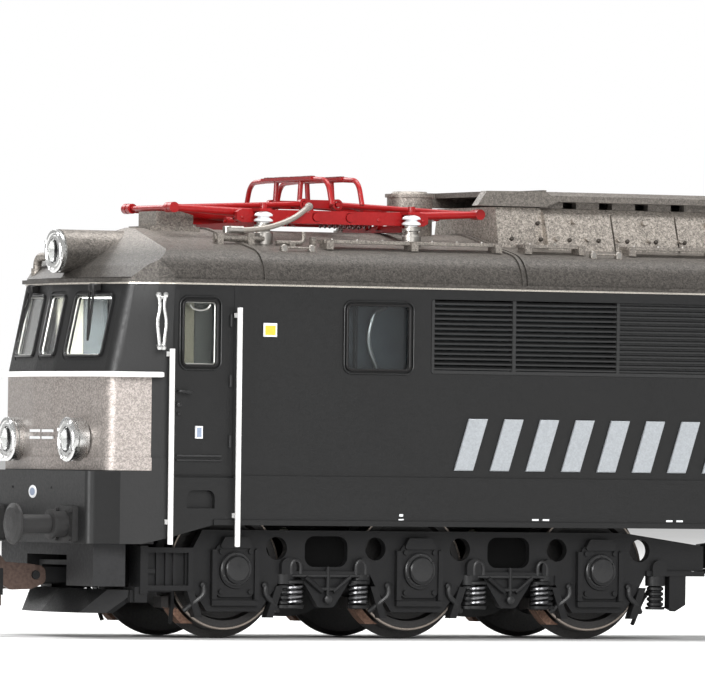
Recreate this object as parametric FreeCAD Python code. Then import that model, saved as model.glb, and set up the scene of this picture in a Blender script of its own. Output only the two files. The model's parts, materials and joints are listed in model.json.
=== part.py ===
"""Model electric locomotive, six axles in two bogies, 1:87 scale for 16.5 mm track.

Millimetres. +X runs along the locomotive, +Z is up. All heights below are above the top of the
rail. The saved parts are lifted by the flange depth, so the origin of the saved model is on the
surface that its wheel flanges stand on, under the middle of the locomotive.
The front end is at -X. The rear end is the same, turned or mirrored.
"""
import FreeCAD, Part
import math
import os

# ---------------------------------------------------------------- driving dimensions
SCALE = 87.0
LENGTH_OVER_BUFFERS = 16820.0 / SCALE
BODY_HALF_WIDTH = 17.2
AXLE_PITCH = 2100.0 / SCALE
BOGIE_X = 44.83
WHEEL_RADIUS = 625.0 / SCALE
FLANGE_DEPTH = 1.0
BACK_TO_BACK = 14.4
WHEEL_WIDTH = 2.8
BUFFER_Y = 875.0 / SCALE
BUFFER_Z = 1060.0 / SCALE

# body outline in plan: nose, corner and start of the side
NOSE_X = 88.1
NOSE_HALF = 2.6
CORNER_X = 86.25
CORNER_Y = 14.25
SIDE_X = 79.9
SCREEN_RAKE = 2.3
NOSE_RADIUS = 5.0
CORNER_RADIUS = 2.4
SIDE_RADIUS = 4.0
BODY_WALL = 1.2
ROOF_WALL = 1.0

# body heights
APRON_Z = 10.0
LOWER_EDGE_Z = 12.3
BEAM_TOP_Z = 18.4
SILL_Z = 29.6
GUTTER_Z = 40.3
SHOULDER_Z = 43.7
RIDGE_Z = 47.2
BEAM_X = 89.0
BEAM_HALF = 14.9

# running gear
AXLE_RADIUS = 1.0
RUNNING_FIT = 0.05
FRAME_INNER_Y = 11.4
FRAME_OUTER_Y = 12.5
SHOE_GAP = 0.35
SHOE_Y = (8.3, 9.9)
GEAR_MODULE = 0.5
WORM_WHEEL_TEETH = 20
IDLER_TEETH = 33
AXLE_GEAR_TEETH = 16
WORM_WHEEL_Z = 15.5
WORM_Z = 22.5

# pantographs
PANTOGRAPH_X = 54.1
ARM_SPREAD = 2.2
ARM_REACH = 18.0
ARM_RISE = 0.8
BASE_PIVOT_Z = 48.5
TOP_PIVOT_Z = BASE_PIVOT_Z + 2 * ARM_RISE
KNEE_Z = BASE_PIVOT_Z + ARM_RISE
BOW_TOP_Z = 53.3
INSULATOR_Y = 8.95

# couplers
COUPLER_PIVOT_X = 80.0
BAIL_PIVOT_X = 89.65
COUPLER_Z = 6.2


# ---------------------------------------------------------------- small building blocks
def vec(x, y, z):
    return FreeCAD.Vector(x, y, z)


X_AXIS = vec(1, 0, 0)
Y_AXIS = vec(0, 1, 0)
Z_AXIS = vec(0, 0, 1)


def block(x0, x1, y0, y1, z0, z1):
    return Part.makeBox(x1 - x0, y1 - y0, z1 - z0, vec(x0, y0, z0))


def cylinder(radius, start, end):
    axis = end - start
    return Part.makeCylinder(radius, axis.Length, start, axis)


def fused(shapes):
    return shapes[0].multiFuse(shapes[1:]).removeSplitter() if len(shapes) > 1 else shapes[0]


def mirror_x(shape):
    return shape.mirror(vec(0, 0, 0), X_AXIS)


def mirror_y(shape):
    return shape.mirror(vec(0, 0, 0), Y_AXIS)


def on_both_sides(shapes):
    return shapes + [mirror_y(shape) for shape in shapes]


def at_both_ends(shapes):
    return shapes + [mirror_x(shape) for shape in shapes]


def on_four_corners(shapes):
    return at_both_ends(on_both_sides(shapes))


def group(shapes):
    return Part.makeCompound(shapes)


def outline(points, radii, place):
    """Closed wire through flat points, each corner rounded by its radius; place gives the 3-D point."""
    corners = []
    count = len(points)
    for i, (x, y) in enumerate(points):
        radius = radii[i]
        if radius <= 0:
            corners.append([(x, y)])
            continue
        before = (points[i - 1][0] - x, points[i - 1][1] - y)
        after = (points[(i + 1) % count][0] - x, points[(i + 1) % count][1] - y)
        len_before = math.hypot(*before)
        len_after = math.hypot(*after)
        ub = (before[0] / len_before, before[1] / len_before)
        ua = (after[0] / len_after, after[1] / len_after)
        half = math.acos(max(-1.0, min(1.0, ub[0] * ua[0] + ub[1] * ua[1]))) / 2
        tangent = radius / math.tan(half)
        middle = (ub[0] + ua[0], ub[1] + ua[1])
        scale = (radius / math.sin(half) - radius) / math.hypot(*middle)
        corners.append([
            (x + ub[0] * tangent, y + ub[1] * tangent),
            (x + middle[0] * scale, y + middle[1] * scale),
            (x + ua[0] * tangent, y + ua[1] * tangent),
        ])
    edges = []
    for i, corner in enumerate(corners):
        if len(corner) == 3:
            edges.append(Part.Arc(*[place(*p) for p in corner]).toShape())
        start = place(*corner[-1])
        end = place(*corners[(i + 1) % count][0])
        if start.distanceToPoint(end) > 1e-6:
            edges.append(Part.makeLine(start, end))
    return Part.Wire(edges)


def radius_list(points, radii):
    return radii if isinstance(radii, list) else [radii] * len(points)


def prism_x(points, radii, x0, x1):
    """Solid with an outline in Y and Z, from x0 to x1."""
    wire = outline(points, radius_list(points, radii), lambda y, z: vec(x0, y, z))
    return Part.Face(wire).extrude(vec(x1 - x0, 0, 0))


def prism_y(points, radii, y0, y1):
    """Solid with an outline in X and Z, from y0 to y1."""
    wire = outline(points, radius_list(points, radii), lambda x, z: vec(x, y0, z))
    return Part.Face(wire).extrude(vec(0, y1 - y0, 0))


def prism_z(points, radii, z0, z1):
    """Solid with an outline in X and Y, from z0 to z1."""
    wire = outline(points, radius_list(points, radii), lambda x, y: vec(x, y, z0))
    return Part.Face(wire).extrude(vec(0, 0, z1 - z0))


def rectangle(a0, a1, b0, b1):
    return [(a0, b0), (a1, b0), (a1, b1), (a0, b1)]


def inset_polygon(points, distance):
    """Counter-clockwise polygon with every side moved inwards."""
    count = len(points)
    moved = []
    for i in range(count):
        (x0, y0), (x1, y1), (x2, y2) = points[i - 1], points[i], points[(i + 1) % count]
        n1 = (-(y1 - y0), x1 - x0)
        n2 = (-(y2 - y1), x2 - x1)
        l1 = math.hypot(*n1)
        l2 = math.hypot(*n2)
        n1 = (n1[0] / l1, n1[1] / l1)
        n2 = (n2[0] / l2, n2[1] / l2)
        share = distance / (1 + n1[0] * n2[0] + n1[1] * n2[1])
        moved.append((x1 + (n1[0] + n2[0]) * share, y1 + (n1[1] + n2[1]) * share))
    return moved


def lathe(profile, centre, axis):
    """Turned solid: profile lists (distance along the axis, radius)."""
    wire = Part.makePolygon([vec(r, 0, a) for a, r in profile] + [vec(profile[0][1], 0, profile[0][0])])
    solid = Part.Face(wire).revolve(vec(0, 0, 0), Z_AXIS, 360)
    solid.Placement = FreeCAD.Placement(centre, FreeCAD.Rotation(Z_AXIS, axis))
    return solid


def bent_rod(points, radius, bend):
    """Round rod through the points, with a tangent arc of the bend radius at each."""
    edges = []
    last = points[0]
    for before, corner, after in zip(points, points[1:], points[2:]):
        back = (before - corner).normalize()
        ahead = (after - corner).normalize()
        half = back.getAngle(ahead) / 2
        reach = min(bend / math.tan(half), 0.45 * min((before - corner).Length, (after - corner).Length))
        arc_radius = reach * math.tan(half)
        middle = (back + ahead).normalize() * (arc_radius / math.sin(half) - arc_radius)
        edges.append(Part.makeLine(last, corner + back * reach))
        edges.append(Part.Arc(corner + back * reach, corner + middle, corner + ahead * reach).toShape())
        last = corner + ahead * reach
    edges.append(Part.makeLine(last, points[-1]))
    ring = Part.Wire(Part.makeCircle(radius, points[0], points[1] - points[0]))
    return Part.Wire(edges).makePipeShell([ring], True, False)


# ---------------------------------------------------------------- body outline
def plan(inset, rake):
    """Body outline in plan; rake moves both noses and corners towards the middle."""
    quarter = [(NOSE_X - rake, NOSE_HALF), (CORNER_X - rake, CORNER_Y - 0.1 * rake), (SIDE_X, BODY_HALF_WIDTH)]
    half = quarter + [(-x, y) for x, y in reversed(quarter)]
    return inset_polygon(half + [(x, -y) for x, y in reversed(half)], inset)


def plan_radii(inset):
    corner = max(CORNER_RADIUS - inset, 0.4)
    quarter = [NOSE_RADIUS, corner, SIDE_RADIUS]
    half = quarter + quarter[::-1]
    return half + half[::-1]


def plan_wire(inset, rake, z):
    return outline(plan(inset, rake), plan_radii(inset), lambda x, y: vec(x, y, z))


def body_block(inset, low, high):
    """Solid body outline: upright panels, raked windscreens and an upright stub above the gutter."""
    panels = prism_z(plan(inset, 0.0), plan_radii(inset), low, SILL_Z)
    wires = [plan_wire(inset, 0.0, SILL_Z), plan_wire(inset, SCREEN_RAKE, GUTTER_Z)]
    screens = Part.makeLoft(wires, True, True)
    pieces = [panels, screens]
    if high > GUTTER_Z:
        pieces.append(prism_z(plan(inset, SCREEN_RAKE), plan_radii(inset), GUTTER_Z, high))
    return fused(pieces)


def roof_end_slopes(inset, bottom):
    """Half of the roof's side outline, its front slope turned with each half of the nose."""
    along = [(-30.0, bottom), (85.3, bottom), (85.3, 40.9), (84.0, 42.3), (76.0, 47.6), (-30.0, 47.6)]
    turn = math.degrees(math.atan2(NOSE_X - CORNER_X, CORNER_Y - NOSE_HALF))
    slopes = []
    for side in (-1, 1):
        slope = prism_y(inset_polygon(along, inset), [0, 0, 0, 1.6, 6.0, 0], -60, 60)
        slope.rotate(vec(85.3, side * NOSE_HALF, 0), Z_AXIS, side * turn)
        slopes.append(slope)
    return slopes[0].common(slopes[1]).common(block(0, 90, -20, 20, bottom - 1, 50))


def roof_block(inset, low):
    """Solid roof outline: cross-section, side outline and plan taken together."""
    bottom = GUTTER_Z - 6.0
    across = [(-17.15, bottom), (17.15, bottom), (17.0, SHOULDER_Z), (0.0, RIDGE_Z), (-17.0, SHOULDER_Z)]
    section = prism_x(inset_polygon(across, inset), [0, 0, 3.6 - inset, 12.0, 3.6 - inset], -90, 90)
    half = roof_end_slopes(inset, bottom)
    top = prism_z(plan(inset + 0.1, SCREEN_RAKE), plan_radii(inset), low, 50)
    return section.common(fused([half, mirror_x(half)])).common(top)


def roof_height(y):
    return RIDGE_Z - abs(y) * (RIDGE_Z - SHOULDER_Z) / 17.0


def seated(shapes):
    """Cuts the roof outline out of fittings, so that they stand on it."""
    roof = roof_block(0.0, GUTTER_Z)
    return [shape.cut(roof) for shape in shapes]


# ---------------------------------------------------------------- windows and openings
DOOR = (71.7, 79.1, 18.0, 39.6)
DOOR_WINDOW = (73.5, 78.2, 30.55, 38.4)
SIDE_WINDOW = (48.4, 56.9, 30.4, 38.25)
GRILLE = (-45.7, 45.7, 30.2, 38.94)
SCREEN_Z = (31.6, 38.9)
SIDE_SCREEN = (4.1, 11.8)
MIDDLE_SCREEN = (-2.1, 2.1)
WINDOW_CORNER = 0.7


def side_window_prism(rect, grow, y0, y1):
    x0, x1, z0, z1 = rect
    points = rectangle(x0 - grow, x1 + grow, z0 - grow, z1 + grow)
    return prism_y(points, WINDOW_CORNER + grow, y0, y1)


def screen_prism(span, grow, x0, x1):
    points = rectangle(span[0] - grow, span[1] + grow, SCREEN_Z[0] - grow, SCREEN_Z[1] + grow)
    return prism_x(points, WINDOW_CORNER + grow, x0, x1)


def all_window_prisms(grow):
    """Prisms through every window at the rear end on the +Y side, then at every other place."""
    side = [side_window_prism(rect, grow, 14.5, 18.0) for rect in (DOOR_WINDOW, SIDE_WINDOW)]
    screens = [screen_prism(SIDE_SCREEN, grow, 80.0, 90.0)]
    middle = [screen_prism(MIDDLE_SCREEN, grow, 80.0, 90.0)]
    return on_four_corners(side + screens) + at_both_ends(middle)


def shell_skin(depth):
    """Hollow layer that reaches from the body surface down to a depth."""
    return body_block(-1.0, 9.0, 41.0).cut(body_block(depth, 8.0, 42.0))


def groove_frame(x0, x1, z0, z1, width, y0, y1):
    outer = prism_y(rectangle(x0 - width, x1 + width, z0 - width, z1 + width), 0.0, y0, y1)
    return outer.cut(prism_y(rectangle(x0, x1, z0, z1), 0.0, y0 - 1, y1 + 1))


# ---------------------------------------------------------------- body parts
def headlamp_places():
    """Lower headlamps: centre height, offset and the x of the bezel's face."""
    return 22.0, 8.2, 88.7


def buffer_beam():
    """Beam across the front with its apron, open at the back and below."""
    outer = prism_z([(80.5, -BEAM_HALF), (BEAM_X, -BEAM_HALF), (BEAM_X, BEAM_HALF), (80.5, BEAM_HALF)],
                    [0, 0.9, 0.9, 0], APRON_Z, BEAM_TOP_Z)
    inner = block(79.0, BEAM_X - 1.5, -BEAM_HALF + 1.4, BEAM_HALF - 1.4, APRON_Z - 1, BEAM_TOP_Z - 1.0)
    return outer.cut(inner)


def step_recess():
    """Foot recess below the cab door, arched at the top."""
    points = [(73.8, 14.2), (77.4, 14.2), (77.4, 16.3), (73.8, 16.3)]
    return prism_y(points, [0, 0, 0.9, 0.9], 16.5, 18.0)


def body_shell():
    shell = body_block(0.0, APRON_Z, GUTTER_Z).cut(body_block(BODY_WALL, 5.0, 45.0))
    rib_low, rib_high = BODY_HALF_WIDTH - 0.3, BODY_HALF_WIDTH + 0.25
    edge_ribs = on_both_sides([block(-74, 74, rib_low, rib_high, LOWER_EDGE_Z, 12.9)])
    shell = fused([shell] + edge_ribs)
    under = prism_y([(-82.6, APRON_Z - 2), (82.6, APRON_Z - 2), (82.6, APRON_Z), (74, LOWER_EDGE_Z),
                     (-74, LOWER_EDGE_Z), (-82.6, APRON_Z)], 0.0, -20, 20)
    shell = shell.cut(under)
    shell = fused([shell] + at_both_ends([buffer_beam()]))
    cuts = all_window_prisms(0.0)
    frames = shell_skin(0.3)
    rebates = [prism.common(frames) for prism in all_window_prisms(0.4)]
    cuts += rebates
    grille = prism_y(rectangle(*GRILLE), 0.3, 14.5, 18.0)
    cuts += on_both_sides([grille])
    seam = body_block(-1.0, 18.05, 18.25).cut(body_block(0.2, 18.0, 18.3))
    seam = seam.cut(block(80.0, 95, -20, 20, 15, 20)).cut(block(-95, -80.0, -20, 20, 15, 20))
    cuts.append(seam)
    door = groove_frame(*DOOR, 0.25, BODY_HALF_WIDTH - 0.25, BODY_HALF_WIDTH + 1)
    threshold = block(DOOR[0] + 0.3, DOOR[1] - 0.3, BODY_HALF_WIDTH - 0.2, BODY_HALF_WIDTH + 1, 19.75, 19.95)
    cuts += on_four_corners([door, threshold, step_recess()])
    height, offset, _ = headlamp_places()
    lamp = cylinder(2.1, vec(80, offset, height), vec(95, offset, height))
    cuts += on_four_corners([lamp])
    shell = shell.cut(cuts)
    lugs = [block(x - 2, x + 2, 15.2, BODY_HALF_WIDTH - 1.0, 19.6, 20.6) for x in (20.0, 60.0)]
    return fused([shell] + on_four_corners(lugs))


def roof_rib(x):
    """Raised joint strip over the roof."""
    rib = roof_block(-0.22, GUTTER_Z).common(block(x - 0.2, x + 0.2, -20, 20, 40, 50))
    return rib


def top_lamp_housing():
    """Round housing of the top headlamp, lying on the front slope of the roof."""
    tube = cylinder(2.55, vec(76.0, 0, 44.0), vec(86.1, 0, 44.0))
    return tube


def roof_panel():
    outer = roof_block(0.0, GUTTER_Z)
    gutter = prism_z(plan(-0.35, SCREEN_RAKE), plan_radii(0.0), GUTTER_Z, GUTTER_Z + 0.45)
    ribs = [roof_rib(x) for x in (32.9, 33.6, 67.5)]
    housings = at_both_ends([top_lamp_housing()])
    panel = fused([outer, gutter] + at_both_ends(ribs) + housings)
    panel = panel.cut(roof_block(ROOF_WALL, GUTTER_Z - 1))
    sockets = at_both_ends([cylinder(2.0, vec(84.4, 0, 44.0), vec(88, 0, 44.0))])
    return panel.cut(sockets)


def window_glazing():
    """Clear panes let into the window openings, a little below the surface."""
    layer = body_block(0.45, 9.0, 41.0).cut(body_block(0.95, 8.0, 42.0))
    return group([prism.common(layer) for prism in all_window_prisms(-0.03)])


def air_grille():
    """Louvred panel along one side: frame, slats and a blind middle section."""
    x0, x1, z0, z1 = GRILLE
    fit = 0.03
    y0, y1 = BODY_HALF_WIDTH - 1.1, BODY_HALF_WIDTH - 0.15
    slats = 14
    slat_pitch = 0.586
    first = 30.74
    frame = prism_y(rectangle(x0 + fit, x1 - fit, z0 + fit, z1 - fit), 0.3, y0, y1)
    bays = [(-45.3, -34.95), (-34.5, -21.0), (-20.6, 20.6), (21.0, 34.5), (34.95, 45.3)]
    for a, b in bays:
        depth = y0 - 1 if b < -20.9 or a > 20.9 else y1 - 0.45
        frame = frame.cut(block(a, b, depth, y1 + 1, first - 0.1, first + slats * slat_pitch))
    pieces = [frame]
    for i in range(slats):
        z = first + i * slat_pitch
        section = [(y1 - 0.75, z + 0.32), (y1 - 0.08, z), (y1 - 0.08, z + 0.18), (y1 - 0.75, z + 0.5)]
        pieces.append(prism_x(section, 0.0, x0 + 0.2, x1 - 0.2))
    return fused(pieces)


def air_grilles():
    return group(on_both_sides([air_grille()]))


def side_rail(x, low, high, posts):
    """Upright handrail with its fixing posts."""
    y = BODY_HALF_WIDTH + 0.95
    rail = cylinder(0.32, vec(x, y, low), vec(x, y, high))
    feet = [block(x - 0.28, x + 0.28, BODY_HALF_WIDTH, y, z - 0.28, z + 0.28) for z in posts]
    return fused([rail] + feet)


def side_handrails():
    rails = [side_rail(79.95, 10.0, 32.6, (12.6, 32.0)), side_rail(71.3, 9.8, 37.5, (13.4, 36.6))]
    return group(on_four_corners(rails))


def front_handrail():
    """Rail round the nose below the windscreens."""
    gap = 0.95
    half = inset_polygon(plan(0.0, 0.0), -gap)[:2]
    (nose_x, nose_y), (corner_x, corner_y) = half
    end = (80.95, BODY_HALF_WIDTH + 0.5)
    right = [end, (corner_x, corner_y), (nose_x, nose_y)]
    points = right + [(x, -y) for x, y in reversed(right)]
    path = [vec(x, y, SILL_Z) for x, y in points]
    rail = bent_rod(path, 0.32, 1.2)
    posts = [block(CORNER_X - 0.6, CORNER_X + 1.2, y - 0.25, y + 0.25, SILL_Z - 0.25, SILL_Z + 0.25)
             for y in (-12.4, 12.4)]
    body = body_block(0.0, APRON_Z, GUTTER_Z)
    ends = [block(80.8, 81.4, side * 17.0 - 0.8, side * 17.0 + 0.8, SILL_Z - 0.25, SILL_Z + 0.25)
            for side in (-1, 1)]
    return fused([rail] + posts + ends).cut(body)


def front_handrails():
    return group(at_both_ends([front_handrail()]))


def wiper(y, lean):
    """Wiper hung above a windscreen: drive box, twin arm and blade."""
    gutter_x = 85.3
    pivot = vec(gutter_x + 0.35, y, 39.5)
    fall = 6.0
    slope = SCREEN_RAKE / (GUTTER_Z - SILL_Z)
    run = vec(fall * slope, lean, -fall)
    joint = pivot + run * 0.6
    arms = [cylinder(0.17, pivot + vec(0, a, 0), joint + vec(0, 0.6 * a, 0)) for a in (-0.42, 0.42)]
    blade = cylinder(0.27, pivot + run * 0.34, pivot + run)
    tie = cylinder(0.2, joint + vec(0, -0.5, 0), joint + vec(0, 0.5, 0))
    box = block(gutter_x - 1.2, gutter_x + 0.6, y - 0.75, y + 0.75, 39.3, 40.1)
    hub = cylinder(0.3, vec(gutter_x - 1.0, y, 39.5), pivot + vec(0.3, 0, 0))
    yoke = cylinder(0.2, pivot + vec(0, -0.6, 0), pivot + vec(0, 0.6, 0))
    shape = fused(arms + [blade, tie, box, hub, yoke])
    return shape.cut(body_block(0.0, APRON_Z, GUTTER_Z + 0.0001))


def wipers():
    return group(at_both_ends([wiper(-8.4, -1.8), wiper(8.4, 0.8)]))


def wind_deflectors():
    """Narrow upright deflectors beside the cab side."""
    plate = prism_z(rectangle(80.5, 81.7, 17.35, 17.75), 0.12, 32.5, 38.9)
    feet = [block(80.8, 81.3, 15.5, 17.5, z, z + 0.4) for z in (33.2, 37.7)]
    shape = fused([plate] + feet).cut(body_block(0.0, APRON_Z, GUTTER_Z))
    return group(on_four_corners([shape]))


def headlamp_bezels():
    height, offset, face = headlamp_places()
    ring = [(-2.4, 2.1), (-2.4, 2.6), (-0.25, 2.6), (0.0, 2.4), (0.0, 2.15), (-0.4, 2.1)]
    body = body_block(0.0, APRON_Z, GUTTER_Z)
    lower = lathe(ring, vec(face, offset, height), X_AXIS).cut(body)
    rim = [(-0.3, 2.0), (-0.3, 2.55), (0.15, 2.55), (0.35, 2.35), (0.35, 2.0)]
    upper = lathe(rim, vec(86.4, 0, 44.0), X_AXIS)
    return group(on_four_corners([lower]) + at_both_ends([upper]))


def headlamp_lenses():
    height, offset, face = headlamp_places()
    dome = [(-2.6, 0.0), (-2.6, 2.05), (-0.8, 2.05), (-0.55, 1.6), (-0.4, 0.9), (-0.35, 0.0)]
    lower = lathe(dome, vec(face, offset, height), X_AXIS)
    small = [(-1.9, 0.0), (-1.9, 1.95), (-0.35, 1.95), (-0.15, 1.4), (-0.02, 0.7), (0.0, 0.0)]
    upper = lathe(small, vec(86.4, 0, 44.0), X_AXIS)
    return group(on_four_corners([lower]) + at_both_ends([upper]))


def buffer_part():
    """Fixed buffer: flange, stepped shank and a head with a flat face."""
    flange = prism_x(rectangle(BUFFER_Y - 2.3, BUFFER_Y + 2.3, BUFFER_Z - 2.1, BUFFER_Z + 2.1), 0.4,
                     BEAM_X, 89.7)
    end = LENGTH_OVER_BUFFERS / 2
    shank = lathe([(0, 0), (0, 1.5), (1.5, 1.5), (1.6, 1.75), (2.0, 1.75), (2.1, 1.1), (6.4, 1.1), (6.4, 0)],
                  vec(89.6, BUFFER_Y, BUFFER_Z), X_AXIS)
    head = lathe([(-1.1, 0), (-1.1, 1.3), (-0.85, 2.2), (-0.7, 2.4), (-0.4, 2.4), (-0.12, 1.9), (0, 0.9),
                  (0, 0)],
                 vec(end, BUFFER_Y, BUFFER_Z), X_AXIS)
    bolts = [cylinder(0.3, vec(89.6, BUFFER_Y + a, BUFFER_Z + b), vec(90.0, BUFFER_Y + a, BUFFER_Z + b))
             for a in (-1.85, 1.85) for b in (-1.6, 1.6)]
    return fused([flange, shank, head] + bolts)


def buffers():
    return group(on_four_corners([buffer_part()]))


def cab_interior():
    """Cab floor with desk, seat and rear bulkhead."""
    floor = prism_z(inset_polygon(plan(BODY_WALL + 0.3, 0.6), 0.0), 0.0, 19.5, 20.3)
    floor = floor.common(block(69.0, 86.2, -20, 20, 19, 21))
    bulkhead = block(69.0, 69.9, -15.6, 15.6, 19.5, 37.5)
    desk = prism_y([(85.2, 20.3), (81.6, 20.3), (81.0, 27.2), (82.4, 28.9), (85.2, 29.2)], 0.0, -12.5, 12.5)
    seat = prism_y([(74.5, 20.3), (77.0, 20.3), (77.0, 21.2), (77.6, 24.0), (77.6, 24.9), (74.6, 24.9),
                    (74.4, 29.0), (73.7, 29.0), (73.9, 23.6)], 0.0, -9.8, -6.2)
    gauges = prism_y([(82.2, 28.6), (82.8, 30.2), (84.2, 30.2), (84.2, 28.6)], 0.0, -10.5, -4.5)
    bosses = [cylinder(1.7, vec(77.9, y, 19.5), vec(77.9, y, 23.5)) for y in (-9.5, 9.5)]
    shape = fused([floor, bulkhead, desk, seat, gauges] + bosses)
    holes = [cylinder(0.75, vec(77.9, y, 18), vec(77.9, y, 22.6)) for y in (-9.5, 9.5)]
    return shape.cut(holes)


def cab_interiors():
    return group(at_both_ends([cab_interior()]))


# ---------------------------------------------------------------- chassis and drive
def chassis_frame():
    """Cast frame: deck with bogie slots, motor cradle and a pivot bridge over each bogie."""
    deck = block(-79.4, 79.4, -15.4, 15.4, 16.5, 19.5)
    cradle = block(-11.0, 11.0, -14.0, 14.0, 12.6, 16.5)
    frame = fused([deck, cradle])
    motor_bay = block(-14.6, 14.6, -7.6, 7.6, 13.4, 20)
    slots = at_both_ends([block(13.3, 76.4, -8.2, 8.2, 16, 20)])
    frame = frame.cut([motor_bay] + slots)
    bridges = []
    for side in (-1, 1):
        x = side * BOGIE_X
        plate = block(x - 5, x + 5, -13.5, 13.5, 27.8, 30.0)
        legs = [block(x - 5, x + 5, y0, y0 + 4.0, 19.5, 27.8) for y0 in (-13.5, 9.5)]
        pin = cylinder(1.5, vec(x, 0, 26.4), vec(x, 0, 27.8))
        bridges += [plate, pin] + legs
    holes = [cylinder(0.8, vec(77.9, y, 16), vec(77.9, y, 20)) for y in (-9.5, 9.5)]
    return fused([frame] + bridges + at_both_ends([end_skirt()])).cut(at_both_ends(holes))


def end_skirt():
    """Black skirt below the buffer beam, open in the middle for the coupler, hung from the deck."""
    wall = block(83.0, 87.1, -12.6, 12.6, 5.05, 9.95).cut(block(82.0, 88.0, -5.4, 5.4, 4.0, 8.6))
    hanger = block(83.0, 84.4, -10.0, 10.0, 9.95, 17.1)
    arm = block(79.0, 84.4, -10.0, 10.0, 16.5, 17.1)
    return fused([wall, hanger, arm])


def body_screws():
    """Four screws from below, through the deck into the cab floors."""
    parts = []
    for y in (-9.5, 9.5):
        head = lathe([(-0.9, 0), (-0.9, 1.1), (-0.6, 1.35), (0, 1.35), (0, 0.7), (5.6, 0.7), (6.0, 0.35),
                      (6.0, 0)],
                     vec(77.9, y, 16.5), Z_AXIS)
        slot = block(76.0, 80.0, y - 0.17, y + 0.17, 15.5, 15.95)
        parts.append(head.cut(slot))
    return group(at_both_ends(parts))


def motor_can():
    """Flat-sided can with an end cover at each end, open inside for the armature."""
    can = cylinder(9.0, vec(-12.6, 0, WORM_Z), vec(12.6, 0, WORM_Z)).common(block(-13, 13, -7.5, 7.5, 10, 35))
    covers = [cylinder(7.2, vec(a, 0, WORM_Z), vec(b, 0, WORM_Z)) for a, b in ((-13.4, -12.6), (12.6, 13.4))]
    bosses = [cylinder(2.6, vec(a, 0, WORM_Z), vec(b, 0, WORM_Z)) for a, b in ((-14.2, -13.4), (13.4, 14.2))]
    room = cylinder(6.2, vec(-11.4, 0, WORM_Z), vec(11.4, 0, WORM_Z))
    bore = cylinder(AXLE_RADIUS + RUNNING_FIT, vec(-16, 0, WORM_Z), vec(16, 0, WORM_Z))
    return fused([can] + covers + bosses).cut([room, bore])


def armature():
    """Motor shaft with a three-slot core and a commutator."""
    shaft = cylinder(AXLE_RADIUS, vec(-18.6, 0, WORM_Z), vec(18.6, 0, WORM_Z))
    core = cylinder(5.7, vec(-7.0, 0, WORM_Z), vec(7.0, 0, WORM_Z))
    for i in range(3):
        slot = block(-8, 8, -0.6, 0.6, 2.6, 6.5)
        slot.rotate(vec(0, 0, 0), X_AXIS, 120 * i)
        slot.translate(vec(0, 0, WORM_Z))
        core = core.cut(slot)
    commutator = cylinder(2.3, vec(7.8, 0, WORM_Z), vec(10.8, 0, WORM_Z))
    return fused([shaft, core, commutator])


def flywheels():
    """Flywheel on each end of the motor shaft, dished for the ball of the worm shaft."""
    profile = [(15.6, AXLE_RADIUS), (15.6, 6.0), (15.9, 6.3), (22.4, 6.3), (22.7, 6.0), (22.7, 4.6), (22.3, 4.2),
               (18.8, 4.2), (18.8, 0.0), (18.6, 0.0), (18.6, AXLE_RADIUS)]
    wheel = lathe(profile, vec(0, 0, WORM_Z), X_AXIS)
    return group(at_both_ends([wheel]))


def circuit_board():
    """Lighting and decoder board on two posts over the motor, with its components."""
    board = block(-47.0, 47.0, -8.5, 8.5, 33.0, 33.9)
    posts = [cylinder(1.6, vec(x, 0, 30.0), vec(x, 0, 33.0)) for x in (-BOGIE_X + 1, BOGIE_X - 1)]
    socket = block(-9.0, 9.0, 2.0, 6.0, 33.9, 36.6)
    chips = [block(x, x + 5.5, -5.5, -1.5, 33.9, 35.1) for x in (-30.0, -20.0, 14.0, 26.0)]
    coils = [cylinder(1.5, vec(x, 4.5, 33.9), vec(x, 4.5, 36.4)) for x in (-36.0, -31.0, 31.0, 36.0)]
    return fused([board, socket] + posts + chips + coils)


# ---------------------------------------------------------------- gears
def gear(teeth, width, start_angle):
    """Straight gear about the Y axis through the origin; start_angle is the first tooth in X-Z."""
    pitch_radius = GEAR_MODULE * teeth / 2
    tip = pitch_radius + 0.42
    root = pitch_radius - 0.6
    tip_half = 0.16 / tip
    root_half = 0.42 / root
    points = []
    for i in range(teeth):
        angle = start_angle + 2 * math.pi * i / teeth
        for radius, offset in ((root, -root_half), (tip, -tip_half), (tip, tip_half), (root, root_half)):
            points.append(vec(radius * math.cos(angle + offset), -width / 2, radius * math.sin(angle + offset)))
    face = Part.Face(Part.makePolygon(points + points[:1]))
    return face.extrude(vec(0, width, 0))


def mesh_angle(teeth_a, angle_a, teeth_b, direction):
    """First tooth of gear b that meshes with gear a; direction is the angle from a to b."""
    ahead = (direction - angle_a) * teeth_a / (2 * math.pi)
    return direction + math.pi + (ahead + 0.5) * 2 * math.pi / teeth_b


def idler_place(side):
    """Centre of an idler on the line from the worm wheel to the outer axle, and that line's angle."""
    run = AXLE_PITCH * side
    drop = WHEEL_RADIUS - WORM_WHEEL_Z
    share = (WORM_WHEEL_TEETH + IDLER_TEETH) / (WORM_WHEEL_TEETH + 2.0 * IDLER_TEETH + AXLE_GEAR_TEETH)
    return run * share, WORM_WHEEL_Z + drop * share, math.atan2(drop, run)


def worm_wheel_angle():
    """The worm wheel has a gap straight up at rest."""
    return math.pi / 2 + math.pi / WORM_WHEEL_TEETH


def worm_wheel(centre_x):
    wheel = gear(WORM_WHEEL_TEETH, 1.4, worm_wheel_angle())
    shaft = cylinder(0.8, vec(0, -2.3, 0), vec(0, 2.3, 0))
    hub = cylinder(1.8, vec(0, -1.3, 0), vec(0, 1.3, 0))
    shape = fused([wheel, shaft, hub])
    shape.translate(vec(centre_x, 0, WORM_WHEEL_Z))
    return shape


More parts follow.
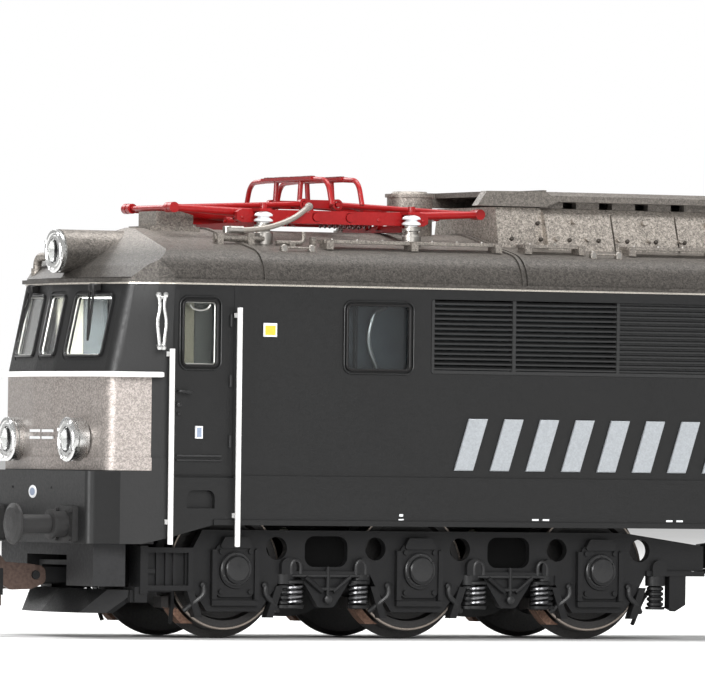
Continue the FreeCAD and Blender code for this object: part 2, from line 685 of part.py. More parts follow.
def idler(centre_x, side):
    x, z, direction = idler_place(side)
    angle = mesh_angle(WORM_WHEEL_TEETH, worm_wheel_angle(), IDLER_TEETH, direction)
    wheel = gear(IDLER_TEETH, 2.0, angle)
    web = [cylinder(1.3, vec(3.9 * math.cos(a), -2, 3.9 * math.sin(a)), vec(3.9 * math.cos(a), 2, 3.9 * math.sin(a)))
           for a in [i * math.pi / 3 for i in range(6)]]
    shaft = cylinder(0.8, vec(0, -2.3, 0), vec(0, 2.3, 0))
    shape = fused([wheel.cut(web), shaft])
    shape.translate(vec(centre_x + x, 0, z))
    return shape


def worm(centre_x, inner):
    """Worm with its long shaft; inner is the direction of the motor. The ball end sits in a flywheel."""
    lead = math.pi * GEAR_MODULE
    turns = 6
    half = turns * lead / 2
    core_radius = 1.3
    core = cylinder(core_radius, vec(-half - 0.5, 0, 0), vec(half + 0.5, 0, 0))
    helix = Part.makeHelix(lead, turns * lead, core_radius)
    root, tip, height = 0.33, 0.14, 2.42
    profile = Part.makePolygon([vec(core_radius - 0.1, 0, -root), vec(height, 0, -tip), vec(height, 0, tip),
                                vec(core_radius - 0.1, 0, root), vec(core_radius - 0.1, 0, -root)])
    thread = Part.Wire(helix.Edges).makePipeShell([profile], True, True)
    thread.rotate(vec(0, 0, 0), Y_AXIS, 90)
    thread.translate(vec(-half, 0, 0))
    shaft = cylinder(AXLE_RADIUS, vec(-7.9, 0, 0), vec(7.9, 0, 0))
    reach = BOGIE_X - 21.2
    drive = cylinder(0.8, vec(0, 0, 0), vec(inner * reach, 0, 0))
    ball = Part.makeSphere(1.1, vec(inner * reach, 0, 0))
    shape = fused([core, shaft, drive, ball]).fuse(thread)
    shape.translate(vec(centre_x, 0, WORM_Z))
    return shape


# ---------------------------------------------------------------- bogies
def gearbox(centre_x):
    """Housing of the gear train: round chambers, worm chamber, axle bearings and pivot boss."""
    wall = 2.6
    room = 1.5
    outer = [cylinder(6.4, vec(0, -wall, WORM_WHEEL_Z), vec(0, wall, WORM_WHEEL_Z)),
             block(-5, 5, -wall, wall, 4.6, 16), block(-7.6, 7.6, -3.6, 3.6, 18.4, 26.0),
             cylinder(2.6, vec(0, 0, 26.0), vec(0, 0, 27.6))]
    inner = [cylinder(5.75, vec(0, -room, WORM_WHEEL_Z), vec(0, room, WORM_WHEEL_Z)),
             block(-6.6, 6.6, -2.8, 2.8, 19.3, 25.2),
             cylinder(AXLE_RADIUS + RUNNING_FIT, vec(-9, 0, WORM_Z), vec(9, 0, WORM_Z)),
             cylinder(1.5 + RUNNING_FIT, vec(0, 0, 26.1), vec(0, 0, 28)),
             cylinder(0.8 + RUNNING_FIT, vec(0, -3, WORM_WHEEL_Z), vec(0, 3, WORM_WHEEL_Z)),
             block(-2.6, 2.6, -room, room, 17, 20)]
    for side in (-1, 1):
        x, z, _ = idler_place(side)
        axle_x = side * AXLE_PITCH
        outer += [cylinder(9.7, vec(x, -wall, z), vec(x, wall, z)),
                  cylinder(5.6, vec(axle_x, -wall, WHEEL_RADIUS), vec(axle_x, wall, WHEEL_RADIUS))]
        inner += [cylinder(8.95, vec(x, -room, z), vec(x, room, z)),
                  cylinder(4.75, vec(axle_x, -room, WHEEL_RADIUS), vec(axle_x, room, WHEEL_RADIUS)),
                  cylinder(0.8 + RUNNING_FIT, vec(x, -3, z), vec(x, 3, z))]
    for x in (-AXLE_PITCH, 0.0, AXLE_PITCH):
        inner.append(cylinder(AXLE_RADIUS + RUNNING_FIT, vec(x, -4, WHEEL_RADIUS), vec(x, 4, WHEEL_RADIUS)))
    shape = fused(outer).cut(inner)
    shape.translate(vec(centre_x, 0, 0))
    return shape


def frame_plate():
    """Flat side of a bogie in X and Z, outer end at -X: top edge, openings, axlebox pockets and feet."""
    top = 11.7
    beam = 6.6
    outer_end = -36.0
    inner_end = 38.4
    edge = [(outer_end, 9.6), (outer_end, 4.4), (-32.5, 4.4)]
    for axle in (-AXLE_PITCH, 0.0, AXLE_PITCH):
        edge += [(axle - 5.4, 4.9), (axle - 3.4, 2.2), (axle + 3.4, 2.2), (axle + 5.4, 4.9)]
        if axle < 20:
            edge += [(axle + 6.3, beam), (axle + AXLE_PITCH - 6.3, beam)]
    edge += [(AXLE_PITCH + 6.3, beam), (AXLE_PITCH + 7.2, 6.9), (inner_end, 7.3), (inner_end, 10.2),
             (AXLE_PITCH + 3.5, top), (-28.2, top), (-29.4, 9.6)]
    plate = prism_y(edge, 0.0, FRAME_INNER_Y, FRAME_OUTER_Y)
    cuts = []
    for axle in (-AXLE_PITCH, 0.0, AXLE_PITCH):
        for side in (-1, 1):
            if axle + side * 5.6 > -29:
                x = axle + side * 5.6
                cuts.append(cylinder(1.35, vec(x, FRAME_INNER_Y - 1, 9.6), vec(x, FRAME_OUTER_Y + 1, 9.6)))
    for middle in (-AXLE_PITCH / 2, AXLE_PITCH / 2):
        cuts.append(prism_y(rectangle(middle - 2.8, middle + 2.8, 7.45, 11.05), 1.2,
                            FRAME_INNER_Y - 1, FRAME_OUTER_Y + 1))
    cuts.append(prism_y(rectangle(-35.2, -30.4, 5.2, 9.0), 0.2, FRAME_INNER_Y - 1, FRAME_OUTER_Y + 1))
    return plate.cut(cuts)


def axlebox(x):
    """Axlebox with its round cover, ribs and bolts, in front of the side plate."""
    y = FRAME_OUTER_Y
    body = prism_y(rectangle(x - 2.5, x + 2.5, 3.9, 10.2), [0.8, 0.8, 1.0, 1.0], y, y + 0.45)
    ring = lathe([(0, 0), (0, 2.15), (0.75, 2.05), (0.75, 1.6), (1.25, 1.5), (1.25, 0)],
                 vec(x, y, 6.95), Y_AXIS)
    guides = [block(x + a - 0.3, x + a + 0.3, y, y + 0.7, 3.6, 9.4) for a in (-2.75, 2.75)]
    keeper = block(x - 3.0, x + 3.0, y, y + 0.6, 2.9, 3.5)
    hat = prism_y([(x - 2.2, 9.6), (x + 2.2, 9.6), (x + 1.5, 10.9), (x - 1.5, 10.9)], 0.3, y, y + 0.8)
    bolts = [cylinder(0.28, vec(x + a, y, z), vec(x + a, y + 0.75, z)) for a in (-1.9, 1.9) for z in (4.5, 9.2)]
    return fused([body, ring, keeper, hat] + guides + bolts)


def spring_stack(x):
    """Spring column under the side beam: hanger boss, cup, coils and foot."""
    y = FRAME_OUTER_Y + 0.05
    boss = prism_y([(x - 0.95, beam_z()), (x + 0.95, beam_z()), (x + 0.95, beam_z() + 1.9),
                    (x - 0.95, beam_z() + 1.9)], [0, 0, 0.9, 0.9], FRAME_INNER_Y + 0.4, FRAME_OUTER_Y + 0.7)
    profile = [(0, 0), (0, 1.15), (0.35, 1.15)]
    coils = 4
    step = 0.62
    for i in range(coils):
        z = 0.35 + i * step
        profile += [(z, 0.75), (z + 0.14, 1.0), (z + step - 0.2, 1.0), (z + step - 0.06, 0.75)]
    top = 0.35 + coils * step
    profile += [(top, 1.2), (top + 1.15, 1.2), (top + 1.15, 0)]
    column = lathe(profile, vec(x, y - 0.5, beam_z() - top - 1.15), Z_AXIS)
    return fused([boss, column])


def beam_z():
    return 6.6


def brake_hanger(x, lean):
    """Slanted hanger that reaches down beside a wheel."""
    points = [(x - 0.45, 5.2), (x + 0.45, 5.2), (x + 0.45 + lean, 1.5), (x - 0.45 + lean, 1.5)]
    return prism_y(points, 0.0, FRAME_INNER_Y + 0.2, FRAME_OUTER_Y + 0.35)


def bogie_side():
    """One side of the bogie, as moulded: plate, axleboxes, springs, beams and hangers."""
    parts = [frame_plate()]
    for axle in (-AXLE_PITCH, 0.0, AXLE_PITCH):
        parts.append(axlebox(axle))
        for side in (-1, 1):
            parts.append(brake_hanger(axle + side * 5.9, -side * 1.3))
    for middle in (-AXLE_PITCH / 2, AXLE_PITCH / 2):
        y = FRAME_OUTER_Y
        parts.append(block(middle - 5.6, middle + 5.6, y, y + 0.6, beam_z() - 0.1, beam_z() + 0.35))
        parts.append(prism_y([(middle - 3.6, beam_z()), (middle + 3.6, beam_z()), (middle + 1.0, 2.7),
                              (middle - 1.0, 2.7)], [0, 0, 0.8, 0.8], FRAME_INNER_Y + 0.3, y + 0.1))
        parts.append(cylinder(0.45, vec(middle, y, 3.7), vec(middle, y + 0.5, 3.7)))
    springs = [-AXLE_PITCH + 6.9, -7.4, 7.2, AXLE_PITCH - 6.9, AXLE_PITCH + 8.0]
    parts += [spring_stack(x) for x in springs]
    parts.append(block(AXLE_PITCH + 6.4, 38.4, FRAME_OUTER_Y - 0.2, FRAME_OUTER_Y + 0.4, 6.6, 7.2))
    parts.append(prism_y([(AXLE_PITCH + 9.6, 6.8), (AXLE_PITCH + 11.8, 6.8), (AXLE_PITCH + 11.8, 3.2),
                          (AXLE_PITCH + 10.4, 2.4), (AXLE_PITCH + 9.6, 2.8)], 0.0,
                         FRAME_INNER_Y + 0.1, FRAME_OUTER_Y + 0.2))
    parts += end_panel()
    return fused(parts)


def end_panel():
    """Framed panel at the outer end of a bogie side, with upright ribs on its recessed face."""
    x0, x1 = -36.4, -29.6
    z0, z1 = 4.6, 9.6
    border = 0.6
    proud = FRAME_OUTER_Y + 0.5
    back = block(x0, x1, FRAME_INNER_Y, FRAME_OUTER_Y - 0.4, z0, z1)
    stile = block(x0, x0 + 1.0, FRAME_INNER_Y - 1.5, proud, z0 - 0.4, z1 + 0.2)
    edges = [block(x1 - border, x1, FRAME_INNER_Y, proud, z0, z1),
             block(x0, x1, FRAME_INNER_Y, proud, z1 - border, z1),
             block(x0, x1, FRAME_INNER_Y, proud, z0, z0 + border)]
    ribs = [block(x, x + 0.4, FRAME_OUTER_Y - 0.5, FRAME_OUTER_Y - 0.1, z0 + 0.2, z1 - 0.3)
            for x in (-34.1, -32.9, -31.9)]
    ledge = block(x0, -34.3, FRAME_OUTER_Y - 0.5, FRAME_OUTER_Y + 0.1, 6.6, 7.1)
    return [back, stile, ledge] + edges + ribs


def snow_plough():
    """Raked plough blade with swept-back wings under the outer end of the bogie, and its brackets."""
    thickness = 0.9
    top_edge = [vec(-40.6, 0, 4.65), vec(-39.4, 10.5, 4.65), vec(-36.5, 12.6, 4.65)]
    low_edge = [vec(-43.0, 0, 1.9), vec(-41.8, 7.8, 1.9), vec(-39.3, 9.9, 1.9)]
    facets = []
    for near in range(2):
        top = Part.makeLine(top_edge[near], top_edge[near + 1])
        low = Part.makeLine(low_edge[near], low_edge[near + 1])
        facets.append(Part.makeRuledSurface(top, low).extrude(vec(thickness, 0, 0)))
    blades = on_both_sides(facets)
    brackets = on_both_sides([prism_y([(-39.6, 4.6), (-36.4, 4.6), (-36.4, 3.2), (-40.7, 3.2)], 0.0, 5.0, 6.4)])
    beam = block(-37.4, -36.0, -12.4, 12.4, 3.2, 4.6)
    return fused(blades + brackets + [beam])


def bogie_frame(centre_x, turned):
    """Both sides joined by transoms and the outer beam that carries the plough."""
    side = bogie_side()
    transoms = []
    for x in (-AXLE_PITCH / 2, AXLE_PITCH / 2):
        transoms += [block(x - 3.4, x + 3.4, 2.6, FRAME_INNER_Y + 0.2, 7.2, 11.4)]
    transoms = on_both_sides(transoms)
    shape = fused([side, mirror_y(side), snow_plough()] + transoms)
    ends = on_both_sides([block(-37.0, -35.4, 9.8, FRAME_OUTER_Y + 0.3, 3.2, 5.0)])
    shape = fused([shape] + ends)
    if turned:
        shape = mirror_x(shape)
    shape.translate(vec(centre_x, 0, 0))
    return shape


def brake_shoes(centre_x, outward):
    """Curved shoe against the outer side of every wheel's tread, with its hanger tab to the side frame."""
    near, far = WHEEL_RADIUS + SHOE_GAP, WHEEL_RADIUS + SHOE_GAP + 0.9
    inner, outer = SHOE_Y
    shoes = []
    for axle in (-AXLE_PITCH, 0.0, AXLE_PITCH):
        ring = lathe([(inner, near), (outer, near), (outer, far), (inner, far)],
                     vec(axle, 0, WHEEL_RADIUS), Y_AXIS)
        a, b = sorted((axle + outward * 3.6, axle + outward * 8.6))
        shoe = ring.common(block(a, b, 7, 11, 0.75, 4.2))
        c, d = sorted((axle + outward * 7.6, axle + outward * 8.5))
        tab = block(c, d, inner + 0.4, 10.85, 2.6, 3.9)
        wheel_room = cylinder(near, vec(axle, 6, WHEEL_RADIUS), vec(axle, 12, WHEEL_RADIUS))
        shoes.append(fused([shoe, tab]).cut(wheel_room))
    shapes = on_both_sides(shoes)
    for shape in shapes:
        shape.translate(vec(centre_x, 0, 0))
    return group(shapes)


def wheel(x):
    """Wheel with flange, tread and dished disc; the flange is on the inside."""
    inner = BACK_TO_BACK / 2
    outer = inner + WHEEL_WIDTH
    r = WHEEL_RADIUS
    profile = [(inner, AXLE_RADIUS), (inner, r + 0.45), (inner + 0.3, r + FLANGE_DEPTH),
               (inner + 0.55, r + FLANGE_DEPTH), (inner + 0.9, r + 0.15), (outer, r - 0.1), (outer, r - 1.1),
               (outer - 0.75, r - 1.35), (outer - 0.95, 3.0), (outer - 0.1, 2.5), (outer - 0.1, AXLE_RADIUS)]
    return lathe(profile, vec(x, 0, WHEEL_RADIUS), Y_AXIS)


def wheelset(x, gear_angle):
    """Two wheels on an axle, with the axle gear on a driven one. The axle is a solid of its own."""
    axle = cylinder(AXLE_RADIUS, vec(x, -10.3, WHEEL_RADIUS), vec(x, 10.3, WHEEL_RADIUS))
    right = wheel(x)
    parts = [axle, right, mirror_y(right)]
    if gear_angle is not None:
        toothed = gear(AXLE_GEAR_TEETH, 2.0, gear_angle)
        toothed.translate(vec(x, 0, WHEEL_RADIUS))
        parts.append(toothed.cut(axle))
    return group(parts)


def axle_gear_angle(side):
    direction = idler_place(side)[2]
    idler_angle = mesh_angle(WORM_WHEEL_TEETH, worm_wheel_angle(), IDLER_TEETH, direction)
    return mesh_angle(IDLER_TEETH, idler_angle, AXLE_GEAR_TEETH, direction)


# ---------------------------------------------------------------- roof equipment
def resistor_box():
    """Long housing on the roof with sloping bolted side panels and narrower ends."""
    section = [(-9.9, 44.0), (9.9, 44.0), (9.5, 46.0), (8.3, 49.5), (6.9, 50.25), (-6.9, 50.25), (-8.3, 49.5),
               (-9.5, 46.0)]
    main = prism_x(section, [0, 0, 0, 0.8, 0.5, 0.5, 0.8, 0], -26.3, 26.3)
    narrow = [(-8.6, 44.0), (8.6, 44.0), (8.2, 46.6), (7.4, 50.25), (-7.4, 50.25), (-8.2, 46.6)]
    ends = at_both_ends([prism_x(narrow, 0.0, 26.3, 32.4)])
    seams = [block(x - 0.12, x + 0.12, -11, 11, 45, 51).cut(block(x - 1, x + 1, -7.9, 7.9, 44, 50.0))
             for x in (-17.3, -8.6, 8.6, 17.3)]
    bolts = []
    for i in range(13):
        x = -25.2 + i * 4.2
        bolts.append(cylinder(0.3, vec(x, 9.0, 46.5), vec(x, 9.75, 46.7)))
    for x in (-22.5, -13.0, -4.5, 4.5, 13.0, 22.5):
        bolts.append(cylinder(0.33, vec(x, 8.2, 48.5), vec(x, 9.1, 48.8)))
    shape = fused([main] + ends).cut(seams)
    shape = fused([shape] + on_both_sides(bolts))
    return seated([shape])[0]


def resistor_lid():
    """Raised cover over the housing, on spaced blocks, with a sloping hood at each end."""
    section = [(-8.7, 51.0), (8.7, 51.0), (8.7, 51.7), (7.6, 52.2), (-7.6, 52.2), (-8.7, 51.7)]
    plate = prism_x(section, 0.0, -26.3, 26.3)
    blocks = []
    for i in range(11):
        x = -24.5 + i * 4.9
        blocks += [block(x - 1.55, x + 1.55, y - 0.6, y + 0.6, 50.25, 51.0) for y in (-6.2, 6.2)]
    profile = [(35.4, 50.35), (34.2, 52.1), (26.3, 52.2), (24.6, 51.0), (26.3, 50.35)]
    hood = prism_y(profile, 0.0, -8.7, 8.7)
    under = block(27.3, 36.0, -7.2, 7.2, 50.0, 51.5)
    knee_room = block(32.8, 36.0, -7.2, 7.2, 50.0, 53.0)
    ridge = block(26.2, 26.6, -8.7, 8.7, 51.9, 52.35)
    return fused([plate] + blocks + at_both_ends([hood.cut([under, knee_room]), ridge]))


def walkway(x0, x1):
    """Narrow running board beside the roof equipment, on hooked brackets."""
    plank = block(x0, x1, 11.0, 12.9, 45.35, 45.75)
    brackets = []
    count = max(2, int((x1 - x0) / 9.0) + 1)
    for i in range(count):
        x = x0 + 0.6 + i * (x1 - x0 - 1.2) / (count - 1)
        brackets.append(block(x - 0.45, x + 0.45, 11.3, 12.4, 44.0, 45.4))
        brackets.append(block(x - 0.45, x + 0.45, 12.4, 13.25, 44.6, 45.6))
    return fused([plank] + brackets)


def roof_walkways():
    boards = [walkway(34.3, 57.8), walkway(23.1, 31.5)]
    middle = walkway(-17.5, 17.5)
    shapes = seated(on_four_corners(boards) + on_both_sides([middle]))
    return group(shapes)


def grab_posts(x0, x1):
    """Small grab iron: two posts and a wire between them."""
    y = 14.2
    z = roof_height(y)
    posts = [block(x - 0.35, x + 0.35, y - 0.35, y + 0.35, z - 0.8, z + 0.7) for x in (x0, x1)]
    wire = cylinder(0.12, vec(x0, y, z + 0.4), vec(x1, y, z + 0.4))
    return fused(posts + [wire])


def isolator():
    """Rod isolator beside the pantograph: two clamps on a bar, and the short busbar that leaves it."""
    bar = cylinder(0.42, vec(66.3, 10.2, 45.75), vec(70.9, 10.2, 45.75))
    thin = cylinder(0.25, vec(64.4, 10.2, 45.75), vec(66.3, 10.2, 45.75))
    clamps = [block(65.9, 66.7, 9.6, 10.8, 44.4, 46.35), block(69.9, 70.7, 9.6, 10.8, 44.4, 46.3)]
    return fused([bar, thin] + clamps)


def busbar_elbow():
    """Bar that lies along the roof and turns up at its end, on a small foot."""
    y, z = 10.6, 45.35
    bar = bent_rod([vec(63.0, y, z), vec(59.4, y, z), vec(59.4, y, z + 1.3)], 0.26, 0.6)
    foot = block(60.6, 61.4, y - 0.4, y + 0.4, z - 1.2, z)
    stub = block(57.9, 58.5, y - 0.3, y + 0.3, z - 1.2, z + 0.7)
    return [fused([bar, foot]), stub]


def lamp_conduit():
    """Pipe from the roof edge up and across to the top headlamp."""
    x, y = 82.6, 13.2
    pipe = bent_rod([vec(x, y, 40.6), vec(x, y, 43.5), vec(x + 0.2, 2.0, 43.9)], 0.5, 1.1)
    collar = cylinder(0.72, vec(x, y, 40.6), vec(x, y, 42.2))
    return fused([pipe, collar]).cut(cylinder(2.55, vec(76.0, 0, 44.0), vec(88, 0, 44.0)))


def roof_fittings():
    """Ventilators, filter drums, isolator rods, grab irons and lamp conduits on the roof."""
    vent = fused([prism_y([(69.8, 45.5), (74.6, 45.5), (74.6, 48.9), (71.4, 48.9), (69.8, 48.5)], 0.0, -2.4, 2.4),
                  block(69.2, 75.6, -3.0, 3.0, 45.5, 47.15)])
    drum = lathe([(0, 0), (0, 2.7), (6.6, 2.7), (6.6, 2.95), (7.0, 2.95), (7.0, 2.3), (7.3, 2.0), (7.3, 0)],
                 vec(40.0, 0, 44.7), Z_AXIS)
    grabs = [grab_posts(60.2, 63.8), grab_posts(19.4, 22.8)]
    single = at_both_ends([vent, drum, lamp_conduit()])
    return group(seated(single + on_four_corners([isolator()] + busbar_elbow() + grabs)))


def insulator(x, y):
    """Roof insulator: stepped metal foot and two porcelain sheds under the bracket."""
    foot = [(-4.2, 0), (-4.2, 1.15), (-2.0, 1.15), (-2.0, 0.8), (-1.75, 0.8), (-1.75, 1.1), (-1.45, 1.1),
            (-1.45, 0.75), (-1.2, 0.75)]
    sheds = [(-1.2, 0.75), (-1.05, 1.15), (-0.85, 1.15), (-0.6, 0.7), (-0.45, 1.1), (-0.25, 1.1), (0.0, 0.6),
             (0.0, 0)]
    return lathe(foot + sheds[1:], vec(x, y, 49.0), Z_AXIS)


def insulators():
    shapes = []
    for end in (-1, 1):
        for dx in (-9.75, 9.75):
            for y in (-INSULATOR_Y, INSULATOR_Y):
                shapes.append(insulator(end * PANTOGRAPH_X + dx, y))
    return group(seated(shapes))


def pantograph_frame(centre_x):
    """Base frame of a pantograph: two side beams, cross members, shaft bearings and ears."""
    beams = []
    for side in (-1, 1):
        a, b = sorted((side * 7.05, side * 7.75))
        beams.append(prism_y([(-12.6, 48.0), (-12.0, 47.7), (12.0, 47.7), (12.6, 48.0), (12.6, 48.9), (12.0, 49.25),
                              (-12.0, 49.25), (-12.6, 48.9)], 0.0, a, b))
        for dx in (-9.75, 9.75):
            c, d = sorted((side * 7.4, side * (INSULATOR_Y + 0.65)))
            beams.append(block(dx - 0.75, dx + 0.75, c, d, 49.0, 49.35))
            beams.append(cylinder(0.4, vec(dx, side * INSULATOR_Y, 49.3), vec(dx, side * INSULATOR_Y, 49.95)))
    cross = [block(x - 0.6, x + 0.6, -7.1, 7.1, 46.95, 47.75) for x in (-9.75, 9.75)]
    drop = [block(x - 0.6, x + 0.6, y - 0.35, y + 0.35, 47.0, 48.2) for x in (-9.75, 9.75) for y in (-7.4, 7.4)]
    shape = fused(beams + cross + drop)
    bores = [cylinder(0.5 + RUNNING_FIT, vec(x, -9, BASE_PIVOT_Z), vec(x, 9, BASE_PIVOT_Z))
             for x in (-ARM_SPREAD, ARM_SPREAD)]
    shape = shape.cut(bores)
    shape.translate(vec(centre_x, 0, 0))
    return shape


def pantograph_frames():
    return group([pantograph_frame(-PANTOGRAPH_X), pantograph_frame(PANTOGRAPH_X)])


def lower_arm(centre_x, side):
    """Lower arm pair on its torsion shaft, reaching out to the knee shaft; side is -1 or +1 in X."""
    base = side * ARM_SPREAD
    knee = side * (ARM_SPREAD + ARM_REACH)
    shaft = cylinder(0.5, vec(base, -7.95, BASE_PIVOT_Z), vec(base, 7.95, BASE_PIVOT_Z))
    knee_shaft = cylinder(0.3, vec(knee, -6.6, KNEE_Z), vec(knee, 6.6, KNEE_Z))
    parts = [shaft, knee_shaft]
    for y in (-6.15, 6.15):
        start = vec(base, y, BASE_PIVOT_Z)
        run = vec(knee, y, KNEE_Z) - start
        parts.append(Part.makeCone(0.62, 0.42, run.Length, start, run))
        parts.append(cylinder(0.62, vec(knee, y - 0.45, KNEE_Z), vec(knee, y + 0.45, KNEE_Z)))
        parts.append(cylinder(0.85, vec(base, y - 0.5, BASE_PIVOT_Z), vec(base, y + 0.5, BASE_PIVOT_Z)))
    shape = fused(parts)
    shape.translate(vec(centre_x, 0, 0))
    return shape


def upper_arm(centre_x, side, top_clearance, brace):
    """Upper arm pair from the knee back to the head pivot, with crossed braces between two shares of it."""
    top = side * ARM_SPREAD
    knee = side * (ARM_SPREAD + ARM_REACH)
    parts = []
    for y_knee, y_top in ((-5.1, -4.2), (5.1, 4.2)):
        start = vec(knee, y_knee, KNEE_Z)
        end = vec(top, y_top, TOP_PIVOT_Z)
        parts.append(cylinder(0.33, start, end))
        parts.append(cylinder(0.6, vec(knee, y_knee - 0.4, KNEE_Z), vec(knee, y_knee + 0.4, KNEE_Z)))
        parts.append(cylinder(0.65, vec(top, y_top - 0.4, TOP_PIVOT_Z), vec(top, y_top + 0.4, TOP_PIVOT_Z)))
    near, far = brace
    run = vec(top - knee, 0, TOP_PIVOT_Z - KNEE_Z)

    def along(share, sign):
        return vec(knee, 0, KNEE_Z) + run * share + vec(0, sign * (5.1 - 0.9 * share), 0)

    parts.append(cylinder(0.22, along(near, -1), along(far, 1)))
    parts.append(cylinder(0.22, along(near, 1), along(far, -1)))
    parts.append(cylinder(0.25, along(0.1, -1), along(0.1, 1)))
    shape = fused(parts)
    bores = [cylinder(0.3 + RUNNING_FIT, vec(knee, -8, KNEE_Z), vec(knee, 8, KNEE_Z)),
             cylinder(0.3 + top_clearance, vec(top, -8, TOP_PIVOT_Z), vec(top, 8, TOP_PIVOT_Z))]
    shape = shape.cut(bores)
    shape.translate(vec(centre_x, 0, 0))
    return shape


def pantograph_bow(x):
    """Collector bow: flat middle and horns that curve down at both ends."""
    flat = BOW_TOP_Z - 0.3
    half = [vec(x, 11.3, flat - 3.1), vec(x, 10.2, flat - 0.15), vec(x, 6.0, flat)]
    points = half + [vec(p.x, -p.y, p.z) for p in reversed(half)]
    tube = bent_rod(points, 0.3, 3.2)
    strip = block(x - 0.45, x + 0.45, -6.6, 6.6, BOW_TOP_Z - 0.35, BOW_TOP_Z)
    return fused([tube, strip])


def pantograph_head(centre_x):
    """Head: two pivot pins, side frames and two bows."""
    parts = []
    for x in (-ARM_SPREAD, ARM_SPREAD):
        parts.append(cylinder(0.3, vec(x, -4.75, TOP_PIVOT_Z), vec(x, 4.75, TOP_PIVOT_Z)))
        bow_x = math.copysign(2.0, x)
        parts.append(pantograph_bow(bow_x))
        for y in (-3.2, 3.2):
            parts.append(cylinder(0.3, vec(x, y, TOP_PIVOT_Z), vec(bow_x, y, BOW_TOP_Z - 0.3)))
    for y in (-3.2, 3.2):
        parts.append(prism_y([(-2.5, TOP_PIVOT_Z - 0.45), (2.5, TOP_PIVOT_Z - 0.45), (2.5, TOP_PIVOT_Z + 0.55),
                              (-2.5, TOP_PIVOT_Z + 0.55)], 0.4, y - 0.25, y + 0.25))
    parts.append(cylinder(0.25, vec(0, -3.2, TOP_PIVOT_Z), vec(0, 3.2, TOP_PIVOT_Z)))
    shape = fused(parts)
    shape.translate(vec(centre_x, 0, 0))
    return shape


def pantograph_cable():
    """Supply cable from its roof terminal up to the base frame, with its terminal."""
    cable = bent_rod([vec(69.2, 10.2, 46.65), vec(65.4, 10.55, 46.85), vec(61.0, 10.3, 47.8),
                      vec(58.4, 9.2, 49.3), vec(57.3, 8.2, 49.95), vec(57.1, 7.5, 49.72)], 0.34, 3.0)
    lug = fused([cylinder(0.55, vec(57.1, 7.4, 49.25), vec(57.1, 7.4, 49.75)),
                 block(56.4, 57.8, 7.1, 7.7, 49.25, 49.5)])
    terminal = block(68.8, 69.6, 9.8, 10.6, 46.17, 46.95)
    return fused([cable, lug, terminal])


def pantograph_cables():
    near_front = mirror_y(mirror_x(pantograph_cable()))
    return group([near_front, mirror_x(mirror_y(near_front))])


# ---------------------------------------------------------------- couplers (rear end, mirrored to the front)
def coupler_pocket():
    """Open-bottomed pocket with the headed pin that the coupler swings on, and its post up to the deck."""
    outer = prism_z([(77.4, -3.2), (86.0, -4.4), (86.0, 4.4), (77.4, 3.2)], 0.0, 5.25, 7.95)
    room = prism_z([(78.2, -2.4), (86.5, -3.7), (86.5, 3.7), (78.2, 2.4)], 0.0, 4.0, 7.4)
    post = block(77.4, 78.9, -2.6, 2.6, 7.5, 16.5)
    pin = cylinder(0.6, vec(COUPLER_PIVOT_X, 0, 4.95), vec(COUPLER_PIVOT_X, 0, 7.6))
    head = cylinder(1.05, vec(COUPLER_PIVOT_X, 0, 4.95), vec(COUPLER_PIVOT_X, 0, 5.25))
    return fused([outer.cut(room), post, pin, head])


def coupler_arm():
    """Shank with its pivot eye, bail pins and the curved buffing plate."""
    eye = cylinder(1.45, vec(COUPLER_PIVOT_X, 0, 5.35), vec(COUPLER_PIVOT_X, 0, 7.1))
    shank = block(COUPLER_PIVOT_X, 96.4, -1.5, 1.5, 5.35, 7.1)
    plate = prism_z([(96.0, -1.8), (96.0, 1.8), (95.2, 5.4), (96.1, 5.6), (97.2, 2.2), (97.2, -2.2), (96.1, -5.6),
                     (95.2, -5.4)], 0.0, 3.9, 7.0)
    hook = prism_y([(93.0, 7.0), (94.8, 7.0), (94.6, 8.3), (94.1, 8.3)], 0.0, -0.6, 0.6)
    pins = cylinder(0.5, vec(BAIL_PIVOT_X, -2.6, COUPLER_Z), vec(BAIL_PIVOT_X, 2.6, COUPLER_Z))
    bore = cylinder(0.6 + RUNNING_FIT, vec(COUPLER_PIVOT_X, 0, 4), vec(COUPLER_PIVOT_X, 0, 9))
    return fused([eye, shank, plate, hook, pins]).cut(bore)


def coupler_bail():
    """Loop of the coupler: two side plates, front bar and the release pin."""
    x = BAIL_PIVOT_X
    side = [(x - 1.3, 5.3), (x + 0.6, 4.55), (x + 3.2, 4.45), (x + 5.4, 5.6), (x + 6.6, 7.45), (99.4, 7.6),
            (99.4, 9.1), (x + 4.9, 8.9), (x + 3.9, 7.7), (x + 0.8, 7.5), (x - 1.2, 7.2)]
    radii = [0.8, 0.4, 1.0, 0.8, 0.5, 0.5, 0.6, 0.8, 0.4, 0.3, 0.8]
    plates = on_both_sides([prism_y(side, radii, 1.9, 2.45)])
    bar = block(98.8, 99.4, -2.2, 2.2, 7.75, 9.0)
    pin = block(x + 4.4, x + 5.1, -2.45, -1.9, 2.6, 6.0)
    shape = fused(plates + [bar, pin])
    return shape.cut(cylinder(0.5 + RUNNING_FIT, vec(x, -4, COUPLER_Z), vec(x, 4, COUPLER_Z)))


# ---------------------------------------------------------------- saving
def save(name, shape):
    """Lifts a part so that the flanges stand at height zero, and writes it."""
    lifted = shape.copy()
    lifted.translate(vec(0, 0, FLANGE_DEPTH))
    lifted.exportStep("parts/%s.step" % name)
    print("%-28s solids %2d  volume %9.2f  valid %s"
          % (name, len(lifted.Solids), sum(s.Volume for s in lifted.Solids), lifted.isValid()))


